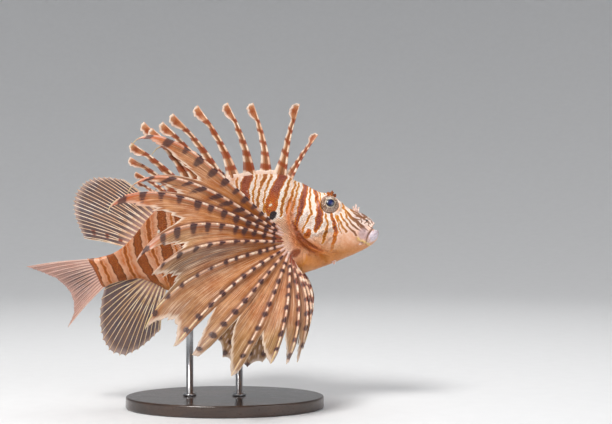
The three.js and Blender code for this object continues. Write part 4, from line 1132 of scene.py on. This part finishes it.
class LionfishPectorals(bpy.types.Operator):
    """Pectoral fins: fourteen banded rays each, with a feathered web below every one"""

    bl_idname = "lionfish.pectorals"
    bl_label = "Pectoral fins"

    def execute(self, context):
        sizes, colours = settings()
        web_look = web_material("lionfish_paired_web", colours)
        ray_look = ray_material("lionfish_paired_ray", colours)
        thick = sizes.web_thickness / MM
        for word, side in SIDES.items():
            random = np.random.default_rng(21 + side)
            count = len(PECTORAL_RAYS)
            webs, rays = Shape(), Shape()
            bands = []
            for i in range(count):
                t = np.linspace(0, 1, 150)
                path = pectoral_ray(i, t, side)
                s = run_length(path)
                low = i / (count - 1)
                places = band_places(s[-1], 10 + 5 * low + random.uniform(0, 3),
                                     6.6 + 1.4 * low + 2.5 * (i > 9), 0.55)
                places = places + random.normal(0, 0.7, len(places))
                bands.append((s[-1], places))
                field = band_field(t * s[-1], places, 0.42, 0.3, s[-1])
                stain = smooth(s, 1, 3) * (1 - smooth(s, 11, 14)) * (i in (3, 4, 9, 10, 11))
                field = np.maximum(field, 2.4 * stain - 1.4)
                wide = (sizes.ray_root + (sizes.ray_tip - sizes.ray_root) * t) / MM
                wide = wide * (1 - 0.45 * smooth(t, 0.9, 1)) * (1 + 0.12 * np.sin(s * 1.7 + i)) \
                    * (0.9 + 0.3 * smooth(-field, -0.3, 1.5))
                glow = smooth(t, 0.6, 0.9) * (0.75 if i < 4 else 0.2) * (1 - smooth(t, 0.93, 1))
                olive = smooth(t, 0.6 if i > 4 else 0.93, 0.98)
                add_tube(rays, path, wide, wide * 0.85, band=field, blaze=glow, olive=olive,
                         brown=np.maximum(0.0 if i < 10 else 0.6, stain),
                         rosy=1.1 * (1 - smooth(t, 0.03, 0.16)))
            for i, web in enumerate(PECTORAL_WEBS):
                v = 0.5 - 0.5 * np.cos(np.linspace(0, np.pi, 43))
                rows = np.linspace(0, 1, 84)
                reach = web_reach(web, v)
                ragged = 0.025 * np.abs(np.sin(v * 17 + i)) + 0.02 * np.abs(np.sin(v * 47 + i))
                wobble = 1 - ragged * np.sin(np.pi * v) * (2.2 if i < 5 else 1.0)
                t = rows[None, :] * (reach * wobble)[:, None]
                across = v[:, None] + 0 * t
                first, second = pectoral_ray(i, t, side), pectoral_ray(i + 1, t, side)
                middle = first * (1 - across)[..., None] + second * across[..., None]
                belly = 2.1 * np.sin(np.pi * across ** 0.8) * np.sin(np.pi * np.clip(t * 1.2, 0, 1))
                belly = belly + 0.14 * np.sin(across * 31 + i + 2 * t) * smooth(t, 0.1, 0.4) \
                    + 0.35 * np.sin(across * 9 + 5 * t + i * 1.7) * smooth(t, 0.2, 0.6)
                belly = belly + 0.8 * rows[None, :] ** 3 * np.sin(t * 26 + i * 2.1) \
                    * np.sin(np.pi * across)
                middle = middle + grid_normal(middle) * belly[..., None]
                length_a, places_a = bands[i]
                length_b, places_b = bands[i + 1]
                span = np.linalg.norm(first - second, axis=-1)
                near_a = across * span
                near_b = (1 - across) * span
                upper = i < 4
                smudge = np.maximum(
                    spot_field(t * length_a, near_a, places_a, 2.7 if upper else 2.1,
                               0.5 if upper else 0.1, 0.36 if upper else 0.8),
                    spot_field(t * length_b, near_b, places_b, 1.7 if upper else 2.1, 0.0, 0.9))
                seam = bell(near_a, 0, 0.9 if i < 9 else 1.5) + 0.7 * bell(near_b, 0, 0.9)
                # Painted shade on the web beside its lower ray and, fainter, below its upper ray
                hollow = (bell(near_b, 1.6, 1.2) + 0.6 * bell(near_a, 3.4, 1.6)) \
                    * smooth(t, 0.06, 0.2) * (1 - 0.6 * smooth(t, 0.6, 0.9))
                golden = (1 - smooth(t, 0.2, 0.62)) * (1.0 if upper else max(0.15, 1.5 - 0.2 * i))
                ashen = WEB_ASHEN[i] * smooth(t, 0.2, 0.45) * np.sin(np.pi * across) ** 0.5 \
                    * (1 - 0.8 * smooth(across, 0.4, 0.9))
                glow = smooth(t, 0.72, 1.0) * (0.7 if upper else 0.1) \
                    + (0.5 if upper else 0.12) * smooth(t, 0.1, 0.5) * bell(near_a, 1.5, 0.8)
                cover = 1 - (0.15 * smooth(t, 0.5, 1) if upper else 0.3 * smooth(t, 0.5, 0.95))
                add_web(webs, middle, thick, np.stack([t * 2.2, across + i], axis=-1),
                        smudge=smudge, margin=0.8 * smooth(rows, 0.945, 0.985), golden=golden,
                        olive=smooth(t, 0.45, 0.9) * WEB_OLIVE[i], blaze=glow, cover=cover,
                        seam=np.clip(seam, 0, 1), ashen=ashen, hollow=hollow)
            webs.piece(f"pectoral_web_{word}", web_look, "paired_fin", [f"pectoral_fin_{word}"])
            rays.piece(f"pectoral_rays_{word}", ray_look, "paired_fin", [f"pectoral_fin_{word}"])
        return {"FINISHED"}


class LionfishPelvics(bpy.types.Operator):
    """Pelvic fins: a spine and five rays each, fully webbed, with rows of dark spots"""

    bl_idname = "lionfish.pelvics"
    bl_label = "Pelvic fins"

    def execute(self, context):
        sizes, colours = settings()
        web_look = web_material("lionfish_pelvic_web", colours)
        ray_look = ray_material("lionfish_pelvic_ray", colours)
        count = len(PELVIC_RAYS)
        for word, side in SIDES.items():
            sweep = 14 if side == LEFT else 0
            index = np.arange(count)

            def curve(u, t):
                share = u / (count - 1)
                root = (PELVIC_ROOT[0] + (PELVIC_ROOT[1] - PELVIC_ROOT[0]) * share[..., None]) \
                    * np.array([1, side, 1])
                angle = np.interp(u, index, PELVIC_RAYS[:, 0]) - sweep * (0.4 + 0.6 * share)
                length = np.interp(u, index, PELVIC_RAYS[:, 1])
                return ray_points(root, angle, length, 0.05, 0.5, 30 * (1 - 0.45 * share), 1.2,
                                  side, t)

            webs, rays = Shape(), Shape()
            u, t = np.meshgrid(np.linspace(0, count - 1, 101), np.linspace(0, 1, 90), indexing="ij")
            v = u % 1.0
            reach = web_reach((0.9, 1.6, 1.6, False), np.where(u == count - 1, 1.0, v))
            share = t * reach
            middle = curve(u, share)
            belly = 0.7 * np.sin(np.pi * v) * smooth(share, 0.05, 0.4)
            middle = middle + grid_normal(middle) * belly[..., None]
            s = share * np.interp(u, index, PELVIC_RAYS[:, 1])
            places = band_places(82, 12, 8.5, 0.1)
            beside = np.minimum(v, 1 - v) * (2 + 9 * share)
            smudge = spot_field(s + 1.5 * np.sin(np.round(u) * 2.3), beside, places, 1.7, 0.0, 0.9)
            beads = 1.2 * smooth(np.cos(6 * np.pi * u), 0.1, 0.8) \
                * smooth(np.sin(s * 0.8 + 2.3 * np.round(3 * u)), -0.3, 0.3)
            add_web(webs, middle, sizes.web_thickness / MM, np.stack([share * 1.6, u], axis=-1),
                    smudge=smudge, margin=smooth(t, 0.95, 1), golden=0.3 * (1 - share),
                    olive=0.3 + 0.5 * share, cover=1 - 0.2 * share, seam=beads)
            for i in range(count):
                t = np.linspace(0, 1, 90)
                path = curve(np.full(90, float(i)), t)
                s = t * PELVIC_RAYS[i, 1]
                field = band_field(s + 1.5 * math.sin(i * 2.3), places, 0.45, 0.4, 82)
                wide = (0.75 if i else 1.0) * (1 - 0.55 * t)
                add_tube(rays, path, wide, wide, band=field, blaze=0.0, olive=0.5 * t, brown=0.3,
                         rosy=0.0)
            webs.piece(f"pelvic_web_{word}", web_look, "paired_fin", [f"pelvic_fin_{word}"])
            rays.piece(f"pelvic_rays_{word}", ray_look, "paired_fin", [f"pelvic_fin_{word}"])
        return {"FINISHED"}


class LionfishSoftFins(bpy.types.Operator):
    """Soft dorsal, anal and tail fins: forked jointed rays in a thin clear web"""

    bl_idname = "lionfish.soft_fins"
    bl_label = "Soft fins"

    def execute(self, context):
        sizes, colours = settings()
        web_look = clear_material("lionfish_clear_web", colours)
        ray_look = ray_material("lionfish_clear_ray", colours)
        for name, fin in SOFT_FINS.items():
            fan = np.array(fin["fan"], dtype=float)
            base = np.array(fin["base"], dtype=float)
            count = fin["rays"]
            cells = count - 1
            index = np.arange(len(fan)) / (len(fan) - 1)
            places = band_places(40, 9, 12, 0.0)

            def surface(u, t):
                """The fan at ray number u and share t of its length, with its ripples across."""
                share = np.clip(u / cells, 0, 1)
                root = base[0] + (base[1] - base[0]) * share[..., None]
                reach = fin["sway"] * np.sin(np.pi * (0.1 + 0.8 * share))
                angle, length = (np.interp(share, index, fan[:, part]) for part in (0, 1))
                flat = ray_points(root, angle, length, 0.02, 0.5, reach, 0.6, LEFT, t)
                ripple = 0.35 * np.cos(2 * np.pi * u) + 1.2 * np.sin(u * 1.15 + 1) * t ** 2
                return flat + (ripple * smooth(t, 0.05, 0.5))[..., None] * np.array([0, 1, 0])

            def edge(u):
                """Share of the length that the web reaches between the rays."""
                whole = 1.0 if name == "caudal_fin" else 0.985
                return whole - 0.02 * np.abs(np.cos(2 * np.pi * u)) ** 0.8 \
                    * smooth(np.minimum(u, cells - u), 0, 0.5)

            webs, rays = Shape(), Shape()
            u, t = np.meshgrid(np.linspace(0, cells, cells * 16 + 1), np.linspace(0, 1, 70),
                               indexing="ij")
            share = t * edge(u)
            spots = NO_BAND
            if name == "dorsal_fin_soft":
                length = np.interp(u / cells, index, fan[:, 1])
                beside = np.abs(u - cells + 1) * 5
                spots = spot_field(share * length, beside, places, 1.3, 0.0, 1.0)
            cover = 0.96 - 0.12 * smooth(share, 0.15, 0.9)
            warm = 0.9 * (1 - smooth(share, 0.0, 0.28))
            if name == "caudal_fin":
                middle = np.sin(np.pi * u / cells) ** 2 * np.sin(np.pi * np.clip(share, 0, 1))
                warm = 1 - 1.1 * middle * np.abs(np.sin(np.pi * (u % 1.0))) ** 0.5
            add_sheet(webs, surface(u, share), sizes.web_thickness / MM * 0.7,
                      np.stack([share * 1.6, u], axis=-1), band=spots, margin=smooth(t, 0.9, 1),
                      warm=np.clip(warm, 0, 1), cover=cover)
            t = np.linspace(0, 1, 60)
            for i in range(count):
                for fork in (-1, 1):
                    where = i + fork * (0.05 + 0.2 * smooth(t, 0.02, 0.55))
                    where = np.clip(where, 0.03, cells - 0.03)
                    path = surface(where, np.minimum(t * (edge(where) + 0.006), 1.0))
                    wide = fin["ray"] * (1 - 0.5 * t)
                    length = np.interp(i / cells, index, fan[:, 1])
                    field = NO_BAND
                    if name == "dorsal_fin_soft" and i == cells - 1:
                        field = band_field(t * length, places, 0.2, 0.2, 60)
                    add_tube(rays, path, wide, wide * 1.1, sides=6, band=field, blaze=0.0,
                             olive={"anal_fin": 0.5, "dorsal_fin_soft": 0.2}.get(name, 0.0),
                             brown=1.0, rosy=0.9 if name == "caudal_fin" else 0.1)
            webs.piece(f"{name}_web", web_look, "clear_fin", [name])
            rays.piece(f"{name}_rays", ray_look, "clear_fin", [name])
        return {"FINISHED"}


# Spiny dorsal fin: x of the root, angle and length of each spine
DORSAL_SPINES = [
    (55.5, 60, 43), (51, 79, 61), (39.5, 104, 62.5), (26.5, 110.5, 64.5), (13.5, 120, 71),
    (2.5, 128, 71), (-6, 131, 69), (-13.8, 133, 66), (-21, 129.5, 73), (-27.5, 140, 63),
    (-34.5, 144, 54), (-41, 145, 38), (-47.5, 143, 30),
]
# Width of the flap behind a spine along its length: at the root, the neck, and the pennant
SPINE_FLAP = [[0, 12.5], [0.14, 9.2], [0.34, 5.6], [0.6, 4.1], [0.78, 3.6], [0.86, 6.6],
              [0.95, 6.6], [1, 3.2]]


class LionfishSpines(bpy.types.Operator):
    """Spiny dorsal fin: thirteen banded spines, each with its flap and pennant, on a low web"""

    bl_idname = "lionfish.spines"
    bl_label = "Dorsal spines"

    def execute(self, context):
        sizes, colours = settings()
        flap_width = through(SPINE_FLAP)
        flaps, shafts = Shape(), Shape()
        web_look = web_material("lionfish_spine_web", colours)
        ray_look = ray_material("lionfish_spine", colours)
        for index, (x, angle, length) in enumerate(DORSAL_SPINES):
            side = RIGHT if index % 2 else LEFT
            full = length + 4
            root = np.array([x, 0, float(profile(x, 1)) - 4])
            bow = 0.035 if angle > 90 else -0.035
            turn = math.radians(angle)
            back = np.array([-math.sin(turn), 0, math.cos(turn)])
            size = min(length / 66, 1)

            def curve(t):
                return ray_points(root, angle, full, bow, 0.5, full * math.sin(math.radians(5)),
                                  1.0, side, t)

            t = np.linspace(0, 1, 120)
            path = curve(t)
            wide = 1.2 + (0.4 - 1.2) * t
            s = t * full
            places = np.array([0.16, 0.32, 0.47, 0.62, 0.76]) * full + 0.8 * math.sin(index * 2.1)
            field = band_field(s, places, 0.42, 0.34, full)
            tip = smooth(t, 0.84, 0.93)
            add_tube(shafts, path, wide, wide * 0.95, sides=10, band=field, blaze=tip * 0.25,
                     olive=0.0, brown=1.0, rosy=0.0)
            v, t = np.meshgrid(np.linspace(0, 1, 15), np.linspace(0, 1, 110), indexing="ij")
            width = (flap_width(t, 1) + 0.35 * np.sin(t * 37 + index) * smooth(t, 0.2, 0.4)
                     * smooth(-t, -0.97, -0.9) + 0.5 * np.sin(t * 110 + index * 2)
                     * smooth(t, 0.84, 0.9)) * size
            edge = wide[0] / 2 * 0.4
            middle = curve(t) + back * (edge + v * width)[..., None]
            sag = side * (0.9 * np.sin(np.pi * v * 0.9) * np.sin(t * 9 + index)
                          + 1.6 * v * smooth(t, 0.78, 0.92) * math.sin(index * 1.9))
            middle = middle + np.array([0, 1, 0]) * sag[..., None]
            ring = band_field(t * full - 3 * v, places, 0.6, 0.5, full)
            pennant = smooth(t, 0.76, 0.86)
            blot = 0.9 - np.hypot((t - 0.9) * full / 2.8, (v - 0.4) * 2.6)
            # Darker brown along each flap a little way out from its spine, below its pennant
            seen = smooth(v, 0.05, 0.25) * smooth(-v, -0.6, -0.4) * (1 - pennant)
            add_web(flaps, middle, sizes.web_thickness / MM * (1.4 - 0.5 * v),
                    np.stack([t * 2.0, v * 0.6 + index], axis=-1),
                    smudge=np.maximum(ring - 0.5 - 4 * pennant, blot),
                    margin=np.maximum(smooth(v, 0.6, 0.85), pennant * smooth(t, 0.965, 0.99)),
                    golden=0.25 * (1 - t), seam=0.8 * pennant * smooth(v, 0.62, 0.88), brown=1,
                    blaze=pennant * (0.2 - 0.2 * smooth(t + 0.08 * v, 0.93, 0.99)),
                    hollow=0.9 * seen)
        x = np.linspace(56, -50, 220)
        v, grid_x = np.meshgrid(np.linspace(0, 1, 9), x, indexing="ij")
        rise = 2.4 * np.minimum(1, np.minimum((56 - grid_x) / 8, (grid_x + 50) / 16).clip(0))
        rise = rise + 0.8 * np.abs(np.sin(grid_x * 0.27))
        middle = np.stack([grid_x, 0 * v, profile(grid_x, 1) - 4 + v * (4 + rise)], axis=-1)
        add_web(flaps, middle, 2.2 * (1 - 0.75 * v), np.stack([v, grid_x * 0.1], axis=-1),
                margin=v ** 2, seam=0.9, brown=1)
        flaps.piece("dorsal_spine_flaps", web_look, "spiny_fin", ["dorsal_fin_spiny"])
        shafts.piece("dorsal_spine_shafts", ray_look, "spiny_fin", ["dorsal_fin_spiny"])
        return {"FINISHED"}


# Face leaves of the left side: root, direction, length, width, and how far the edge is lobed
FACE_LEAVES = {
    "brow_tentacle": [([88.6, 8.4, 179.6], [-0.5, 0.1, 1], 3.6, 3.4, 0.35),
                      ([90.6, 8.6, 179.4], [0.1, 0.16, 1], 4.6, 3.0, 0.4),
                      ([92.4, 8.2, 178.6], [0.6, 0.1, 1], 3.0, 2.8, 0.35)],
    "nostril_tentacle": [([110.6, 4.6, 164.9], [-0.3, 0.1, 1], 6.2, 1.5, 0.3),
                         ([111.3, 4.6, 164.8], [0.0, 0.1, 1], 7.8, 1.7, 0.3),
                         ([112.0, 4.4, 164.4], [0.35, 0.0, 1], 6.0, 1.3, 0.3)],
    "cheek_flap": [([92.0, 7.2, 127.6], [0.1, 0.3, -1], 6.0, 3.8, 0.3)],
    "mouth_flap": [([114.6, 9.4, 141.4], [-0.3, 0.3, -1], 3.6, 4.8, 0.4)],
}


class LionfishLeaves(bpy.types.Operator):
    """Small fleshy tentacles and flaps of the face"""

    bl_idname = "lionfish.leaves"
    bl_label = "Face tentacles"

    def execute(self, context):
        look = leaf_material("lionfish_tentacle")
        for name, leaves in FACE_LEAVES.items():
            for word, side in SIDES.items():
                mirror = np.array([1, side, 1])
                shape = Shape()
                for root, direction, length, width, lobes in leaves:
                    along = unit(np.array(direction, dtype=float))
                    across = unit(np.cross([0.0, 1.0, 0.0], along))
                    t, v = np.meshgrid(np.linspace(0, 1, 34), np.linspace(-1, 1, 17), indexing="ij")
                    share = (0.55 + 0.9 * t * (1 - t) * 1.8) * (1 - 0.72 * t ** 3) \
                        * (1 + lobes * np.sin(t * 15 + length) * np.abs(v) ** 2)
                    middle = (np.array(root) + (t * length)[..., None] * along
                              + (v * width / 2 * share)[..., None] * across
                              + np.array([0, 1, 0]) * (0.35 * v ** 2 + 0.12 * length * t ** 2
                                                       * np.sin(length))[..., None])
                    thick = (1 - 0.8 * v ** 2) * (1 - 0.6 * t) + 0.16
                    ordered = middle if side == LEFT else middle[:, ::-1]
                    pale = {"brow_tentacle": 0.0, "mouth_flap": 0.7}.get(name, 1.0)
                    add_sheet(shape, ordered * mirror, thick,
                              np.stack([t, v * 0.5 + 0.5], axis=-1), pale=pale)
                shape.piece(f"{name}_leaf_{word}", look, "tentacle", [f"{name}_{word}"])
        return {"FINISHED"}


STAND = {"length": 168, "width": 112, "rods": {"front": 12, "rear": -30}, "into": 6}
# Edge of the stand's plate, from its underside to its top: inset and height
PLATE_EDGE = np.array([
    [-8, 0], [-2, 0], [-1.2, 0], [-0.35, 0.35], [0, 1.2], [0, 2], [0, 8], [0, 8.8],
    [-0.35, 9.65], [-1.2, 10], [-2, 10], [-8, 10]])


class LionfishStand(bpy.types.Operator):
    """Oval stand with two steel rods that end in the belly"""

    bl_idname = "lionfish.stand"
    bl_label = "Stand"

    def execute(self, context):
        _, colours = settings()
        turn = np.linspace(0, TURN, 160, endpoint=False)
        inset, height = PLATE_EDGE[:, :1], PLATE_EDGE[:, 1:]
        points = np.stack([(STAND["length"] / 2 + inset) * np.cos(turn),
                           (STAND["width"] / 2 + inset) * np.sin(turn), height + 0 * turn], axis=-1)
        every = np.concatenate([points.reshape(-1, 3), [[0, 0, 0], [0, 0, 10]]])
        quads, caps = closed_grid(*points.shape[:2])
        base = Shape()
        base.add(every, quads=quads, triangles=caps, uv=every[:, :2] / 200 + 0.5)
        base.piece("stand_plate", wood_material("lionfish_wood", colours), "stand_base",
                   ["stand_base"])
        steel = steel_material("lionfish_steel", colours)
        for word, x in STAND["rods"].items():
            top = float(profile(x, 2)) + STAND["into"] - 0.5
            height = np.array([7.4, 9.6, 10.2, 10.2, 11.2, 11.8, 12.0, 60, top - 2, top])
            radius = np.array([2.9, 2.9, 2.9, 5.6, 5.6, 5.2, 3.0, 3.0, 3.0, 2.9])
            path = np.stack([np.full(10, float(x)), np.zeros(10), height], axis=-1)
            path = path + np.array([[0, 0, 1e-3]]) * np.arange(10)[:, None]
            rod = Shape()
            add_tube(rod, path, radius, radius, sides=48)
            rod.piece(f"stand_rod_{word}_steel", steel, "stand_rod", [f"stand_rod_{word}"])
        return {"FINISHED"}


class LionfishStage(bpy.types.Operator):
    """Plain pale floor and backdrop, soft studio lights and the camera"""

    bl_idname = "lionfish.stage"
    bl_label = "Stage"

    def execute(self, context):
        scene = context.scene
        sides, inner, bend = 96, 1400, 1800    # radii of the flat floor and of its upward bend
        arc = np.linspace(0, np.pi / 2, 40)
        out = np.concatenate([np.linspace(50, inner, 14), inner + bend * np.sin(arc[1:]),
                              np.full(6, float(inner + bend))])
        up = np.concatenate([np.zeros(14), bend - bend * np.cos(arc[1:]),
                             np.linspace(2000, 4200, 6)])
        turn = np.linspace(0, TURN, sides, endpoint=False)
        points = np.stack([out[:, None] * np.cos(turn), out[:, None] * np.sin(turn),
                           up[:, None] + 0 * turn], axis=-1)
        k = np.arange(sides)
        fan = np.stack([np.full(sides, len(out) * sides), k, (k + 1) % sides], axis=-1)
        sweep = Shape()
        sweep.add(np.concatenate([points.reshape(-1, 3), [[0, 0, 0]]]),
                  quads=grid_quads(len(out), sides, closed=True), triangles=fan)
        floor = sweep.link("studio_floor", plain_material("studio_paper", shade(228, 229, 231)))
        target = Vector((0.02, 0.0, 0.15))
        for name, place, size, power, colour in (
                ("key", (-0.55, -1.0, 1.5), 0.5, 29, (1.0, 0.98, 0.95)),
                ("fill", (1.3, -1.5, 0.98), 1.2, 7.5, (0.97, 0.98, 1.0)),
                ("top", (0.2, 0.4, 1.9), 1.2, 16, (1.0, 0.99, 0.97))):
            data = bpy.data.lights.new(name, "AREA")
            data.shape = "SQUARE"
            data.size = size
            data.energy = power
            data.color = colour
            light = bpy.data.objects.new(name, data)
            light.location = place
            light.rotation_euler = (target - Vector(place)).to_track_quat("-Z", "Y").to_euler()
            scene.collection.objects.link(light)
        world = bpy.data.worlds.new("studio_air")
        world.use_nodes = True
        world.node_tree.nodes["Background"].inputs[0].default_value = (0.95, 0.97, 1.0, 1)
        world.node_tree.nodes["Background"].inputs[1].default_value = 0.15
        scene.world = world
        scene.view_settings.view_transform = "Standard"
        data = bpy.data.cameras.new("camera")
        data.lens = 69.2
        data.sensor_width = 36
        camera = bpy.data.objects.new("camera", data)
        camera.location = (0.06885, -1.0, 0.1659)
        camera.rotation_euler = (math.pi / 2, 0, 0)
        scene.collection.objects.link(camera)
        scene.camera = camera
        return {"FINISHED"}


PIECES = (LionfishSkin, LionfishScales, LionfishEyes, LionfishPectorals, LionfishPelvics,
          LionfishSoftFins, LionfishSpines, LionfishLeaves, LionfishStand, LionfishStage)


class LionfishPanel(bpy.types.Panel):
    """Lists the pieces of the model"""

    bl_idname = "VIEW3D_PT_lionfish"
    bl_label = "Red lionfish"
    bl_space_type = "VIEW_3D"
    bl_region_type = "UI"
    bl_category = "Lionfish"

    def draw(self, context):
        layout = self.layout
        for piece in PIECES:
            layout.operator(piece.bl_idname)
        for group in (context.scene.lionfish_sizes, context.scene.lionfish_colours):
            for key in group.__annotations__:
                layout.prop(group, key)


CLASSES = (LionfishSizes, LionfishColours, *PIECES, LionfishPanel)


def register():
    for each in CLASSES:
        bpy.utils.register_class(each)
    bpy.types.Scene.lionfish_sizes = bpy.props.PointerProperty(type=LionfishSizes)
    bpy.types.Scene.lionfish_colours = bpy.props.PointerProperty(type=LionfishColours)


def unregister():
    del bpy.types.Scene.lionfish_colours
    del bpy.types.Scene.lionfish_sizes
    for each in reversed(CLASSES):
        bpy.utils.unregister_class(each)


def main():
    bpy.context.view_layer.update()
    register()
    bpy.ops.lionfish.skin()
    bpy.ops.lionfish.scales()
    bpy.ops.lionfish.eyes()
    bpy.ops.lionfish.pectorals()
    bpy.ops.lionfish.pelvics()
    bpy.ops.lionfish.soft_fins()
    bpy.ops.lionfish.spines()
    bpy.ops.lionfish.leaves()
    bpy.ops.lionfish.stand()
    bpy.ops.lionfish.stage()


if __name__ == "__main__":
    main()
